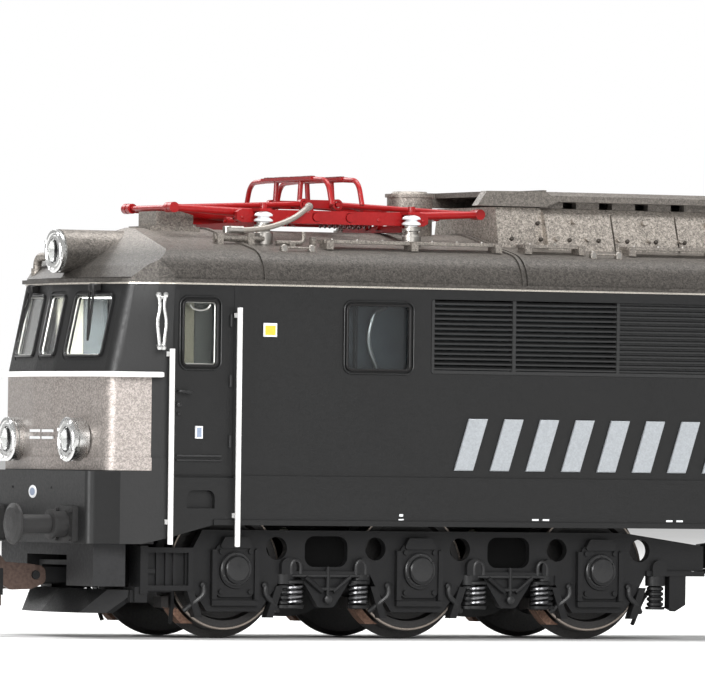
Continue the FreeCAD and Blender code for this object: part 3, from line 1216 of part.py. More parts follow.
def main():
    os.makedirs("parts", exist_ok=True)
    root_parts = [
        body_shell, roof_panel, window_glazing, air_grilles, side_handrails, front_handrails, wipers,
        wind_deflectors, headlamp_bezels, headlamp_lenses, buffers, cab_interiors, chassis_frame, body_screws,
        motor_can, armature, flywheels, circuit_board, resistor_box, resistor_lid, roof_walkways, roof_fittings,
        insulators, pantograph_frames, pantograph_cables,
    ]
    for maker in root_parts:
        save(maker.__name__, maker())
    save("coupler_pockets", group(at_both_ends([coupler_pocket()])))
    for end, sign in (("front", -1), ("rear", 1)):
        centre = sign * BOGIE_X
        save("bogie_frame_" + end, bogie_frame(centre, sign > 0))
        save("bogie_gearbox_" + end, gearbox(centre))
        save("brake_shoes_" + end, brake_shoes(centre, sign))
        save("worm_" + end, worm(centre, -sign))
        save("worm_wheel_" + end, worm_wheel(centre))
        save("idler_outer_" + end, idler(centre, sign))
        save("idler_inner_" + end, idler(centre, -sign))
        save("wheelset_outer_" + end, wheelset(centre + sign * AXLE_PITCH, axle_gear_angle(sign)))
        save("wheelset_middle_" + end, wheelset(centre, None))
        save("wheelset_inner_" + end, wheelset(centre - sign * AXLE_PITCH, axle_gear_angle(-sign)))
        arm, bail = coupler_arm(), coupler_bail()
        save("coupler_arm_" + end, arm if sign > 0 else mirror_x(arm))
        save("coupler_bail_" + end, bail if sign > 0 else mirror_x(bail))
        pan = sign * PANTOGRAPH_X
        save("lower_arm_outer_" + end, lower_arm(pan, sign))
        save("lower_arm_inner_" + end, lower_arm(pan, -sign))
        save("upper_arm_outer_" + end, upper_arm(pan, sign, RUNNING_FIT, (0.22, 0.86)))
        save("upper_arm_inner_" + end, upper_arm(pan, -sign, 2 * RUNNING_FIT, (0.56, 0.94)))
        save("pantograph_head_" + end, pantograph_head(pan))


main()
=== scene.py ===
import json
import math

import bmesh
import bpy
import numpy as np
from mathutils import Matrix, Vector, geometry


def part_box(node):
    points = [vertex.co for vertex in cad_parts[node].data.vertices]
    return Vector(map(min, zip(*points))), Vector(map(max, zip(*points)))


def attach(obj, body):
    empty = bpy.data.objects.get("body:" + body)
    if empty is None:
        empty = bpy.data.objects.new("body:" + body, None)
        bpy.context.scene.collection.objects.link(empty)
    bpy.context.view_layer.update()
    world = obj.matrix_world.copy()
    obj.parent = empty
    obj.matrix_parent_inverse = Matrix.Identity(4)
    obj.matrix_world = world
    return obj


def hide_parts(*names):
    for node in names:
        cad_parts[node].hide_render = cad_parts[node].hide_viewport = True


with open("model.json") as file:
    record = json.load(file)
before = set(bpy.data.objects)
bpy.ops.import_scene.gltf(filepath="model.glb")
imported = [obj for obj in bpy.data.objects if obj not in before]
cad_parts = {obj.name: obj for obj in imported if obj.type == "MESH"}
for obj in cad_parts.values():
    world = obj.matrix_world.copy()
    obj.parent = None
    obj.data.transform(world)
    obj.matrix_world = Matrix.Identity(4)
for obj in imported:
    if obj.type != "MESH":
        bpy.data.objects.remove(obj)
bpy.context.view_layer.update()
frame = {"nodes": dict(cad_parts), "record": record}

# Everything is in metres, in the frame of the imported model. Sizes below are written in millimetres
# and multiplied by MM where they are used. The front end is at -X.
MM = 0.001
ENDS = {"front": -1, "rear": 1}
AXLES = ("outer", "middle", "inner")
SIDES = (-1, 1)
UP = (0, 0, 1)
# Panes further from the middle than these are door windows and windscreens.
DOOR_PANE_X, SCREEN_X = 60.0, 80.0


# ---------------- node helpers
class Paint:
    """Builds one procedural material: grain and blotches drive colour, roughness and bump."""

    def __init__(self, name):
        self.made = bpy.data.materials.new(name)
        self.made.use_nodes = True
        self.nodes = self.made.node_tree.nodes
        self.links = self.made.node_tree.links
        self.shader = self.nodes["Principled BSDF"]
        self.place = self.nodes.new("ShaderNodeTexCoord").outputs["Object"]

    def constant(self, **values):
        """Sets shader inputs to plain values, each by a short name."""
        names = {"metallic": "Metallic", "coat": "Coat Weight", "specular": "Specular IOR Level", "ior": "IOR",
                 "transmission": "Transmission Weight"}
        for key, value in values.items():
            self.shader.inputs[names[key]].default_value = value
        return self

    def node(self, kind, **inputs):
        """New node; each input is a plain value or a socket to link, with _ for a space in its name."""
        made = self.nodes.new("ShaderNode" + kind)
        for name, value in inputs.items():
            socket = made.inputs[name.replace("_", " ")]
            if isinstance(value, bpy.types.NodeSocket):
                self.links.new(value, socket)
            else:
                socket.default_value = value
        return made

    def noise(self, grain, detail=2.0, stretch=(1, 1, 1)):
        """Noise value whose features are about grain millimetres across."""
        mapping = self.node("Mapping", Vector=self.place, Scale=[1 / (grain * MM * s) for s in stretch])
        texture = self.node("TexNoise", Vector=mapping.outputs["Vector"], Scale=1.0, Detail=detail)
        return texture.outputs["Fac"]

    def flakes(self, size):
        """Random value per metal flake of about size millimetres."""
        cells = self.node("TexVoronoi", Vector=self.place, Scale=1 / (size * MM))
        return self.node("SeparateColor", Color=cells.outputs["Color"]).outputs["Red"]

    def math(self, operation, a, b=0.0, c=0.0):
        """Result of a math node; each operand is a number or a socket."""
        made = self.nodes.new("ShaderNodeMath")
        made.operation = operation
        for socket, value in zip(made.inputs, (a, b, c)):
            if isinstance(value, (int, float)):
                socket.default_value = value
            else:
                self.links.new(value, socket)
        return made.outputs["Value"]

    def axes(self):
        """Object coordinates, which are the frame's own metres."""
        split = self.node("SeparateXYZ", Vector=self.place)
        return [split.outputs[axis] for axis in "XYZ"]

    def ramp(self, factor, stops):
        """Colour ramp through (position, colour) stops."""
        made = self.node("ValToRGB", Fac=factor)
        elements = made.color_ramp.elements
        while len(elements) < len(stops):
            elements.new(0.5)
        for element, (position, colour) in zip(elements, stops):
            element.position = position
            element.color = (*colour, 1.0)
        return made.outputs["Color"]

    def blend(self, factor, a, b):
        """Colour a where factor is 0 and colour b where it is 1."""
        made = self.nodes.new("ShaderNodeMix")
        made.data_type = "RGBA"
        self.links.new(factor, made.inputs["Factor"])
        self.links.new(a, made.inputs["A"])
        self.links.new(b, made.inputs["B"])
        return made.outputs["Result"]

    def spread(self, factor, low, high):
        """Maps a value that lies mostly between 0.3 and 0.7 onto low to high."""
        made = self.node("MapRange", Value=factor, From_Min=0.3, From_Max=0.7, To_Min=low, To_Max=high)
        return made.outputs["Result"]

    def colour(self, socket):
        """Links the shader's colour."""
        self.links.new(socket, self.shader.inputs["Base Color"])

    def rough(self, socket):
        """Links the shader's roughness."""
        self.links.new(socket, self.shader.inputs["Roughness"])

    def bump(self, height, depth):
        """Bump of depth millimetres."""
        made = self.node("Bump", Height=height, Strength=1.0, Distance=depth * MM)
        self.links.new(made.outputs["Normal"], self.shader.inputs["Normal"])


def scaled(colour, factor):
    """Colour made lighter or darker, kept within 1."""
    return tuple(min(1.0, c * factor) for c in colour)


def plain_paint(name, colour, contrast=0.12, grain=0.25, roughness=(0.4, 0.55), depth=0.01, **constants):
    """Satin paint or moulded plastic with fine grain and slow changes of tone."""
    paint = Paint(name).constant(**{"specular": 0.3, **constants})
    fine = paint.noise(grain)
    slow = paint.noise(9.0, 3.0)
    mixed = paint.math("MULTIPLY_ADD", fine, 0.6, paint.math("MULTIPLY", slow, 0.4))
    stops = [(0.32, scaled(colour, 1 - contrast)), (0.68, scaled(colour, 1 + contrast))]
    paint.colour(paint.ramp(mixed, stops))
    paint.rough(paint.spread(fine, *roughness))
    paint.bump(fine, depth)
    return paint


def flake_paint(name, colour, contrast=0.5, flake=0.13, roughness=(0.36, 0.6), depth=0.012,
                metallic=0.5):
    """Metallic paint whose small flakes differ in brightness and gloss."""
    paint = Paint(name).constant(metallic=metallic, specular=0.35)
    fine = paint.flakes(flake)
    coarse = paint.flakes(flake * 1.9)
    soft = paint.noise(flake * 1.2)
    mixed = paint.math("MULTIPLY_ADD", coarse, 0.3, paint.math("MULTIPLY", soft, 0.2))
    mixed = paint.math("MULTIPLY_ADD", fine, 0.5, mixed)
    stops = [(0.12, scaled(colour, 1 - contrast)), (0.5, colour), (0.9, scaled(colour, 1 + 1.3 * contrast))]
    paint.colour(paint.ramp(mixed, stops))
    paint.rough(paint.spread(soft, *roughness))
    paint.bump(mixed, depth)
    return paint


# ---------------- materials
BODY_GREY = (0.0095, 0.0096, 0.0098)
SILVER_GREY = (0.275, 0.247, 0.229)
ROOF_GREY = (0.062, 0.056, 0.050)
BOX_GREY = (0.31, 0.28, 0.248)


def body_paint():
    """Dark satin grey, with the silver panel that wraps each nose below the windscreens."""
    paint = Paint("body_paint").constant(specular=0.28)
    panel_x = 81.6 * MM
    low, high = 19.5 * MM, 30.55 * MM
    fine = paint.noise(0.3)
    slow = paint.noise(14.0, 3.0)
    grain = paint.math("MULTIPLY_ADD", fine, 0.6, paint.math("MULTIPLY", slow, 0.4))
    dark = paint.ramp(grain, [(0.3, scaled(BODY_GREY, 0.88)), (0.7, scaled(BODY_GREY, 1.12))])
    flakes = paint.flakes(0.13)
    sparkle = paint.math("MULTIPLY_ADD", flakes, 0.65, paint.math("MULTIPLY", paint.flakes(0.25), 0.35))
    silver = paint.ramp(sparkle, [(0.2, scaled(SILVER_GREY, 0.72)), (0.5, SILVER_GREY),
                                  (0.85, scaled(SILVER_GREY, 1.35))])
    x, _, z = paint.axes()
    nose = paint.math("GREATER_THAN", paint.math("ABSOLUTE", x), panel_x)
    above = paint.math("GREATER_THAN", z, low)
    below = paint.math("LESS_THAN", z, high)
    mask = paint.math("MULTIPLY", nose, paint.math("MULTIPLY", above, below))
    paint.colour(paint.blend(mask, dark, silver))
    paint.links.new(paint.math("MULTIPLY", mask, 0.55), paint.shader.inputs["Metallic"])
    paint.rough(paint.spread(fine, 0.38, 0.5))
    paint.bump(paint.math("MULTIPLY_ADD", sparkle, mask, fine), 0.01)
    return paint


def clear_glass(name, tint, roughness=0.03):
    """Transparent plastic with faint changes of tint and gloss."""
    paint = Paint(name).constant(transmission=1.0, ior=1.45)
    slow = paint.noise(4.0, 2.0)
    paint.colour(paint.ramp(slow, [(0.3, scaled(tint, 0.97)), (0.7, tint)]))
    paint.rough(paint.spread(slow, roughness * 0.6, roughness * 1.4))
    return paint


def turned_metal(name, colour, roughness=(0.22, 0.38), streak=(1, 1, 1)):
    """Metal with fine machining marks."""
    paint = Paint(name).constant(metallic=1.0)
    marks = paint.noise(0.12, 3.0, streak)
    slow = paint.noise(5.0, 2.0)
    mixed = paint.math("MULTIPLY_ADD", marks, 0.6, paint.math("MULTIPLY", slow, 0.4))
    paint.colour(paint.ramp(mixed, [(0.3, scaled(colour, 0.8)), (0.7, scaled(colour, 1.15))]))
    paint.rough(paint.spread(marks, *roughness))
    paint.bump(marks, 0.006)
    return paint


def wheel_metal():
    """Blackened wheel metal; the bright treads are pieces of their own."""
    paint = Paint("wheel_metal").constant(metallic=0.3)
    marks = paint.noise(0.25, 2.0)
    paint.colour(paint.ramp(marks, [(0.3, (0.018, 0.017, 0.017)), (0.7, (0.035, 0.033, 0.032))]))
    paint.rough(paint.spread(marks, 0.35, 0.5))
    paint.bump(marks, 0.01)
    return paint


def copper_armature():
    """Copper windings, as fine bands along the shaft."""
    paint = Paint("copper_armature").constant(metallic=1.0)
    x, _, _ = paint.axes()
    bands = paint.math("SINE", paint.math("MULTIPLY", x, 2 * math.pi / (0.35 * MM)))
    paint.colour(paint.ramp(bands, [(0.0, (0.35, 0.13, 0.05)), (1.0, (0.72, 0.32, 0.16))]))
    paint.rough(paint.spread(paint.noise(0.3), 0.3, 0.5))
    return paint


def roof_paint():
    """Speckled metallic grey with painted light: paler on the upper, flatter part of the roof, which faces the
    light from above.
    """
    paint = flake_paint("roof_paint", ROOF_GREY)
    low = paint.shader.inputs["Base Color"].links[0].from_socket
    _, _, z = paint.axes()
    # Painted light: the flake colour is scaled from 1 on the lower slope up to 3.2 on the top of the roof.
    height = paint.node("MapRange", Value=z, From_Min=44.6 * MM, From_Max=47.0 * MM, To_Min=1.0, To_Max=3.2)
    brighter = paint.node("VectorMath")
    brighter.operation = "SCALE"
    paint.links.new(low, brighter.inputs[0])
    paint.links.new(height.outputs["Result"], brighter.inputs["Scale"])
    paint.colour(brighter.outputs["Vector"])
    return paint


def brake_paint():
    """Black brake gear whose lowest tips are rusty brown."""
    rust_top = 4.1 * MM
    paint = Paint("brake_brown").constant(specular=0.2)
    grain = paint.noise(0.3)
    dark = paint.ramp(grain, [(0.3, (0.012, 0.011, 0.011)), (0.7, (0.02, 0.018, 0.017))])
    rust = paint.ramp(grain, [(0.3, (0.09, 0.048, 0.034)), (0.7, (0.22, 0.13, 0.09))])
    _, _, z = paint.axes()
    edge = paint.math("MULTIPLY_ADD", grain, 1.2 * MM, z)
    paint.colour(paint.blend(paint.math("LESS_THAN", edge, rust_top), dark, rust))
    paint.rough(paint.spread(grain, 0.55, 0.75))
    paint.bump(grain, 0.02)
    return paint


def make_materials():
    """One procedural material for each slot of the record, then those of small details."""
    made = {"body_paint": body_paint().made, "roof_paint": roof_paint().made,
            "copper_armature": copper_armature().made, "brake_brown": brake_paint().made,
            "wheel_metal": wheel_metal().made}

    def add(kind, name, *values, **constants):
        """Keeps the material that kind makes under its name."""
        made[name] = kind(name, *values, **constants).made

    add(clear_glass, "clear_glass", (0.93, 0.95, 0.94))
    add(plain_paint, "grille_paint", (0.02, 0.0202, 0.0205), roughness=(0.36, 0.5))
    add(plain_paint, "white_rail", (0.82, 0.81, 0.80), 0.04, 0.4, (0.3, 0.42), 0.006, coat=0.2)
    add(plain_paint, "black_trim", (0.010, 0.0095, 0.0095), 0.25, 0.2, (0.45, 0.6), specular=0.2)
    add(turned_metal, "silver_trim", (0.62, 0.62, 0.61), (0.16, 0.3))
    add(clear_glass, "lamp_lens", (0.95, 0.96, 0.95), 0.02)
    add(plain_paint, "buffer_black", (0.018, 0.0175, 0.0175), 0.2, 0.3, (0.42, 0.58))
    add(plain_paint, "cab_plastic", (0.78, 0.77, 0.73), 0.08, 0.5, (0.5, 0.65))
    add(plain_paint, "chassis_metal", (0.03, 0.03, 0.031), 0.25, 0.4, (0.5, 0.7), 0.03, metallic=0.5)
    add(turned_metal, "screw_steel", (0.4, 0.4, 0.42))
    add(turned_metal, "motor_steel", (0.48, 0.48, 0.48), (0.25, 0.45))
    add(turned_metal, "turned_brass", (0.7, 0.5, 0.22), (0.18, 0.32), (8, 1, 1))
    add(plain_paint, "board_green", (0.02, 0.13, 0.05), 0.2, 0.6, (0.25, 0.4), coat=0.4)
    add(flake_paint, "box_paint", BOX_GREY, 0.6)
    add(flake_paint, "lid_paint", scaled(ROOF_GREY, 2.3), 0.4)
    add(flake_paint, "roof_fitting_paint", scaled(BOX_GREY, 0.7), 0.5)
    add(plain_paint, "insulator_white", (0.80, 0.81, 0.83), 0.04, 0.5, (0.12, 0.22), 0.004, coat=0.6)
    add(plain_paint, "pantograph_red", (0.32, 0.005, 0.006), 0.14, 0.3, (0.3, 0.42), 0.008, coat=0.1)
    add(plain_paint, "cable_grey", (0.30, 0.27, 0.24), 0.2, 0.25, (0.3, 0.45), metallic=0.4)
    add(plain_paint, "black_plastic", (0.0105, 0.0105, 0.011), 0.2, 0.25, (0.42, 0.58), specular=0.2)
    add(plain_paint, "gearbox_plastic", (0.02, 0.02, 0.02), 0.2, 0.3, (0.45, 0.6))
    add(turned_metal, "worm_steel", (0.5, 0.5, 0.5))
    add(plain_paint, "gear_plastic", (0.68, 0.65, 0.55), 0.06, 0.6, (0.4, 0.5))
    add(plain_paint, "bronze_bail", (0.085, 0.058, 0.048), 0.35, 0.4, (0.35, 0.5), 0.02, metallic=0.6)
    add(clear_glass, "door_glass", (0.86, 0.86, 0.80))
    add(clear_glass, "dark_glass", (0.62, 0.66, 0.68))
    add(plain_paint, "machine_room", (0.045, 0.055, 0.06), 0.3, 2.5)
    add(plain_paint, "cab_olive", (0.24, 0.24, 0.20), 0.12, 2.0)
    # Flat, nearly matt black that paints shade into the bogie windows.
    add(plain_paint, "deep_black", (0.003, 0.003, 0.003), 0.3, 0.5, (0.7, 0.9), specular=0.05)
    add(turned_metal, "trim_grey", (0.34, 0.34, 0.32), (0.3, 0.45))
    # Lighter, glossier copy of the body grey. Round the side windows it is a painted highlight on the edge of
    # each opening; it also colours the windscreen surrounds and the door fittings.
    add(plain_paint, "body_edge", scaled(BODY_GREY, 1.9), 0.1, 0.3, (0.3, 0.42))
    add(turned_metal, "bezel_metal", (0.6, 0.6, 0.59), (0.2, 0.32))
    add(turned_metal, "reflector_metal", (0.8, 0.8, 0.79), (0.1, 0.2))
    # Pale metal for the gutter bead: painted highlight along the roof edge.
    add(turned_metal, "gutter_metal", (0.72, 0.67, 0.6), (0.22, 0.36))
    add(flake_paint, "letter_silver", (0.36, 0.38, 0.40), 0.1, 0.15, (0.3, 0.45), 0.004, 0.3)
    add(plain_paint, "mark_white", (0.78, 0.79, 0.8), 0.04)
    add(plain_paint, "mark_blue", (0.25, 0.30, 0.40), 0.1)
    add(plain_paint, "mark_yellow", (0.75, 0.48, 0.05), 0.06)
    add(turned_metal, "foot_metal", (0.30, 0.285, 0.265), (0.3, 0.45))
    add(plain_paint, "bolt_dark", (0.06, 0.052, 0.045), 0.25, 0.2, (0.4, 0.55), metallic=0.5)
    add(plain_paint, "pantograph_dark", (0.10, 0.012, 0.012), 0.25, 0.25, (0.35, 0.5))
    # Lighter, glossier copy of the bogie black: painted sheen on the raised bogie fittings.
    add(plain_paint, "bogie_sheen", (0.019, 0.019, 0.0195), 0.2, 0.25, (0.3, 0.42))
    add(turned_metal, "spring_steel", (0.16, 0.16, 0.165), (0.25, 0.4))
    add(turned_metal, "tread_steel", (0.36, 0.31, 0.27), (0.25, 0.4))
    return made


MATERIALS = make_materials()


def paint_cad_nodes():
    """Gives every CAD node its slot's material, paints shade into the bogie windows as flat black, and tints
    the side panes.
    """
    for part in frame["record"]["subparts"]:
        mesh = frame["nodes"][part["node"]].data
        mesh.materials.clear()
        mesh.materials.append(MATERIALS[part["material_slot"]])
    # Painted shade: the side frames' window panels get flat black, standing in for the dark behind them.
    blank_y, blank_low, blank_high = 11.6, 8.0, 12.6
    for end in ENDS:
        side_frame = frame["nodes"]["bogie_frame_" + end]
        side_frame.data.materials.append(MATERIALS["deep_black"])
        for face in side_frame.data.polygons:
            centre = side_frame.matrix_world @ face.center / MM
            on_blank = abs(abs(centre.y) - blank_y) < 0.04 and blank_low < centre.z < blank_high
            if on_blank and abs(face.normal.y) > 0.9:
                face.material_index = 1
    panes = frame["nodes"]["window_glazing"]
    for slot in ("door_glass", "dark_glass"):
        panes.data.materials.append(MATERIALS[slot])
    for face in panes.data.polygons:
        x = abs((panes.matrix_world @ face.center).x) / MM
        face.material_index = 2 if x < DOOR_PANE_X else 1 if x < SCREEN_X else 0


# ---------------- mesh helpers
def millimetres(node):
    """Lowest and highest corner of a CAD node, in millimetres."""
    low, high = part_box(node)
    return Vector(low) / MM, Vector(high) / MM


def loose_parts(node):
    """Corner points of each separate solid of a CAD node, in millimetres."""
    source = frame["nodes"][node]
    mesh = bmesh.new()
    mesh.from_mesh(source.data)
    mesh.transform(source.matrix_world)
    bmesh.ops.remove_doubles(mesh, verts=mesh.verts, dist=1e-7)
    seen, found = set(), []
    for start in mesh.verts:
        if start in seen:
            continue
        seen.add(start)
        waiting, points = [start], []
        while waiting:
            vertex = waiting.pop()
            points.append(vertex.co / MM)
            for edge in vertex.link_edges:
                other = edge.other_vert(vertex)
                if other not in seen:
                    seen.add(other)
                    waiting.append(other)
        found.append(points)
    mesh.free()
    return found


def extent(points):
    """Lowest and highest corner of the box round some points."""
    low = Vector([min(p[i] for p in points) for i in range(3)])
    high = Vector([max(p[i] for p in points) for i in range(3)])
    return low, high


def circle(count, start=0.0):
    """Cosine and sine of count equal steps round a circle."""
    return [(math.cos(a), math.sin(a)) for a in (start + 2 * math.pi * i / count for i in range(count))]


def smooth_path(points, steps=8):
    """Catmull-Rom curve through the points."""
    points = [Vector(p) for p in points]
    padded = [points[0] * 2 - points[1]] + points + [points[-1] * 2 - points[-2]]
    path = []
    for a, b, c, d in zip(padded, padded[1:], padded[2:], padded[3:]):
        for i in range(steps):
            t = i / steps
            path.append(0.5 * (2 * b + (c - a) * t + (2 * a - 5 * b + 4 * c - d) * t ** 2
                               + (3 * b - a - 3 * c + d) * t ** 3))
    return path + [points[-1]]


def helix(start, end, radius, turns, steps=14):
    """Centre line of a coil spring between two points."""
    start, end = Vector(start), Vector(end)
    axis = (end - start).normalized()
    side = axis.orthogonal().normalized()
    other = axis.cross(side)
    count = int(turns * steps)
    path = []
    for i in range(count + 1):
        angle = 2 * math.pi * turns * i / count
        arm = side * math.cos(angle) + other * math.sin(angle)
        path.append(start.lerp(end, i / count) + arm * radius)
    return path


class Piece:
    """One visual piece, built up in millimetres from shapes that may differ in material."""

    def __init__(self, name, body, slot, swaps=()):
        self.name, self.body, self.swaps = name, body, swaps
        self.slots = [slot]
        self.mesh = bmesh.new()

    def _skin(self, rings, slot, closed=False):
        """Quads between successive rings of points, with a cap at each end unless the rings close."""
        slot = slot or self.slots[0]
        if slot not in self.slots:
            self.slots.append(slot)
        index = self.slots.index(slot)
        made = [[self.mesh.verts.new(Vector(p) * MM) for p in ring] for ring in rings]
        faces = []
        pairs = list(zip(made, made[1:])) + ([(made[-1], made[0])] if closed else [])
        for a, b in pairs:
            for i in range(len(a)):
                j = (i + 1) % len(a)
                faces.append(self.mesh.faces.new((a[i], a[j], b[j], b[i])))
        if not closed:
            faces.append(self.mesh.faces.new(list(reversed(made[0]))))
            faces.append(self.mesh.faces.new(made[-1]))
        for face in faces:
            face.material_index = index
            face.smooth = True

    def lathe(self, profile, centre, axis, slot=None, steps=32):
        """Solid of revolution from (distance along the axis, radius) pairs, each end capped."""
        axis = Vector(axis).normalized()
        side = axis.orthogonal().normalized()
        other = axis.cross(side)
        rings = []
        for along, radius in profile:
            radius = max(radius, 0.004)
            hub = Vector(centre) + axis * along
            rings.append([hub + (side * c + other * s) * radius for c, s in circle(steps)])
        self._skin(rings, slot)

    def tube(self, points, radius, slot=None, steps=10):
        """Round bar along a path; radius is one value or one for each end."""
        points = [Vector(p) for p in points]
        first, last = radius if isinstance(radius, tuple) else (radius, radius)
        tangent = (points[1] - points[0]).normalized()
        side = tangent.orthogonal().normalized()
        rings = []
        for i, point in enumerate(points):
            before, after = points[max(i - 1, 0)], points[min(i + 1, len(points) - 1)]
            tangent = (after - before).normalized()
            side = (side - tangent * side.dot(tangent)).normalized()
            other = tangent.cross(side)
            size = first + (last - first) * i / (len(points) - 1)
            rings.append([point + (side * c + other * s) * size for c, s in circle(steps)])
        self._skin(rings, slot)

    def slab(self, outline, depth, slot=None, edge=0.08):
        """Plate: outline raised by the vector depth, its upper edge chamfered."""
        outline = [Vector(p) for p in outline]
        depth = Vector(depth)
        middle = sum(outline, Vector()) / len(outline)
        shrunk = [p + (middle - p).normalized() * edge for p in outline]
        lip = depth * (1 - min(0.5, edge / depth.length))
        self._skin([outline, [p + lip for p in outline], [p + depth for p in shrunk]], slot)

    def brick(self, low, high, slot=None, edge=0.12):
        """Block with all its edges chamfered."""
        low, high = Vector(low), Vector(high)
        edge = min(edge, 0.45 * min(high - low))

        def ring(z, inset):
            """Rectangle with cut corners, set in from the block's sides."""
            corners = []
            cut = edge if not inset else edge * 0.6
            x0, y0, x1, y1 = low.x + inset, low.y + inset, high.x - inset, high.y - inset
            for x, y, dx, dy in ((x0, y0, 1, 1), (x1, y0, -1, 1), (x1, y1, -1, -1), (x0, y1, 1, -1)):
                near, far = Vector((x, y + dy * cut, z)), Vector((x + dx * cut, y, z))
                corners += [near, far] if dx == dy else [far, near]
            return corners

        levels = ((low.z, edge), (low.z + edge, 0), (high.z - edge, 0), (high.z, edge))
        self._skin([ring(z, inset) for z, inset in levels], slot)

    def rim(self, loop, out, width, height, slot=None):
        """Frame of chamfered section round a closed loop; width and height are (from, to) pairs."""
        loop = [Vector(p) for p in loop]
        out = Vector(out).normalized()
        inner, outer = width
        low, high = height
        cut = 0.3 * min(outer - inner, high - low)
        section = [(inner, low), (inner, high - cut), (inner + cut, high), (outer - cut, high),
                   (outer, high - cut), (outer, low)]
        middle = sum(loop, Vector()) / len(loop)
        rings = []
        for i, point in enumerate(loop):
            tangent = (loop[(i + 1) % len(loop)] - loop[i - 1]).normalized()
            away = tangent.cross(out)
            if away.dot(point - middle) < 0:
                away = -away
            rings.append([point + away * a + out * b for a, b in section])
        self._skin(rings, slot, closed=True)

    def bolt(self, place, out, radius=0.25, height=0.2, slot=None):
        """Domed bolt head."""
        dome = [(-0.15, radius), (height * 0.5, radius), (height * 0.85, radius * 0.72), (height, 0)]
        self.lathe(dome, place, out, slot, 10)

    def done(self):
        """Turns the shapes into one object that rides its body."""
        bmesh.ops.recalc_face_normals(self.mesh, faces=self.mesh.faces)
        mesh = bpy.data.meshes.new(self.name)
        self.mesh.to_mesh(mesh)
        self.mesh.free()
        mesh.set_sharp_from_angle(angle=math.radians(38))
        for slot in self.slots:
            mesh.materials.append(MATERIALS[slot])
        made = bpy.data.objects.new(self.name, mesh)
        bpy.context.scene.collection.objects.link(made)
        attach(made, self.body)
        if self.swaps:
            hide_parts(*self.swaps)


# ---------------- windows
RECESS = 0.45
SIDE_Y = 17.2


def pane_loop(points):
    """Outline of a pane's outer face, the direction it faces, and its own across and up."""
    cloud = np.array([tuple(p) for p in points])
    centre = cloud.mean(axis=0)
    out = Vector(np.linalg.svd(cloud - centre, full_matrices=False)[2][2]).normalized()
    centre = Vector(centre)
    away = Vector((centre.x, 0, 0)) if abs(centre.x) > SCREEN_X else Vector((0, centre.y, 0))
    if out.dot(away) < 0:
        out = -out
    top = max((p - centre).dot(out) for p in points)
    across = Vector((0, 0, 1)).cross(out).normalized()
    up = out.cross(across)
    face = [p for p in points if (p - centre).dot(out) > top - 0.06]
    flat = [((p - centre).dot(across), (p - centre).dot(up)) for p in face]
    hull = geometry.convex_hull_2d([Vector(p) for p in flat])
    loop = [centre + across * flat[i][0] + up * flat[i][1] + out * top for i in hull]
    kept = [loop[0]]
    for point in loop[1:]:
        if (point - kept[-1]).length > 0.05:
            kept.append(point)
    return kept, out, across, up


def door_back(backs, low, high, side):
    """Olive cab wall and dark partition behind a door window, side by side."""
    near, far = sorted((side * 14.4, side * 14.9))
    middle = (low.x + high.x) / 2
    inward = math.copysign(1, -middle)
    for start, end, slot in ((-3.2, 0.2, "cab_olive"), (0.2, 3.4, "machine_room")):
        x0, x1 = sorted((middle + inward * start, middle + inward * end))
        backs.brick((x0, near, low.z - 0.5), (x1, far, high.z + 0.5), slot, 0.1)


def machine_room_back(backs, low, high, side):
    """Curved duct, dark post and back wall seen through a machine room window."""
    duct = [(low.x + x, side * 13.9, low.z + z) for x, z in ((5.6, 0), (4.4, 3.4), (5.0, 6.4), (6.6, 7.6))]
    backs.tube(smooth_path(duct), 0.3, "trim_grey", 8)
    near, far = sorted((side * 13.1, side * 13.8))
    backs.brick((low.x + 2.7, near, low.z - 0.2), (low.x + 3.1, far, high.z + 0.4), "black_trim", 0.08)
    # One wall serves both windows of a side and the grilles between them.
    wall_reach = 58.5
    if low.x < 0:
        near, far = sorted((side * 12.6, side * 13.1))
        backs.brick((-wall_reach, near, low.z - 0.2), (wall_reach, far, high.z + 0.6), "machine_room", 0.15)


def windows():
    """Rubber and metal frames round every pane, a painted highlight round each side window's opening, door
    window catches, and what shows behind the panes.
    """
    frames = Piece("window_frames", "body", "black_trim")
    backs = Piece("window_backs", "body", "black_trim")
    for points in loose_parts("window_glazing"):
        loop, out, across, up = pane_loop(points)
        low, high = extent(loop)
        middle = (low + high) / 2
        side = math.copysign(1, middle.y)
        if abs(middle.x) > SCREEN_X:
            frames.rim(loop, out, (-0.14, 0.05), (-0.1, RECESS + 0.05), "body_edge")
            frames.rim(loop, out, (-0.32, -0.13), (-0.1, 0.12), "trim_grey")
            continue
        frames.rim(loop, out, (-0.25, 0.05), (-0.1, RECESS + 0.07))
        # Painted highlight: a ring of lighter body grey on the edge of the window opening.
        frames.rim(loop, out, (0.28, 0.4), (RECESS - 0.2, RECESS + 0.05), "body_edge")
        if abs(middle.x) > DOOR_PANE_X:
            frames.rim(loop, out, (-0.42, -0.24), (-0.1, 0.12), "trim_grey")
            catch = [middle + across * a + up * b + out * 0.2
                     for a, b in ((-1.3, 3.3), (-0.9, 2.85), (0, 2.65), (0.9, 2.85), (1.3, 3.3))]
            frames.tube(smooth_path(catch), 0.13, "trim_grey", 8)
            door_back(backs, low, high, side)
        else:
            machine_room_back(backs, low, high, side)
    frames.done()
    backs.done()


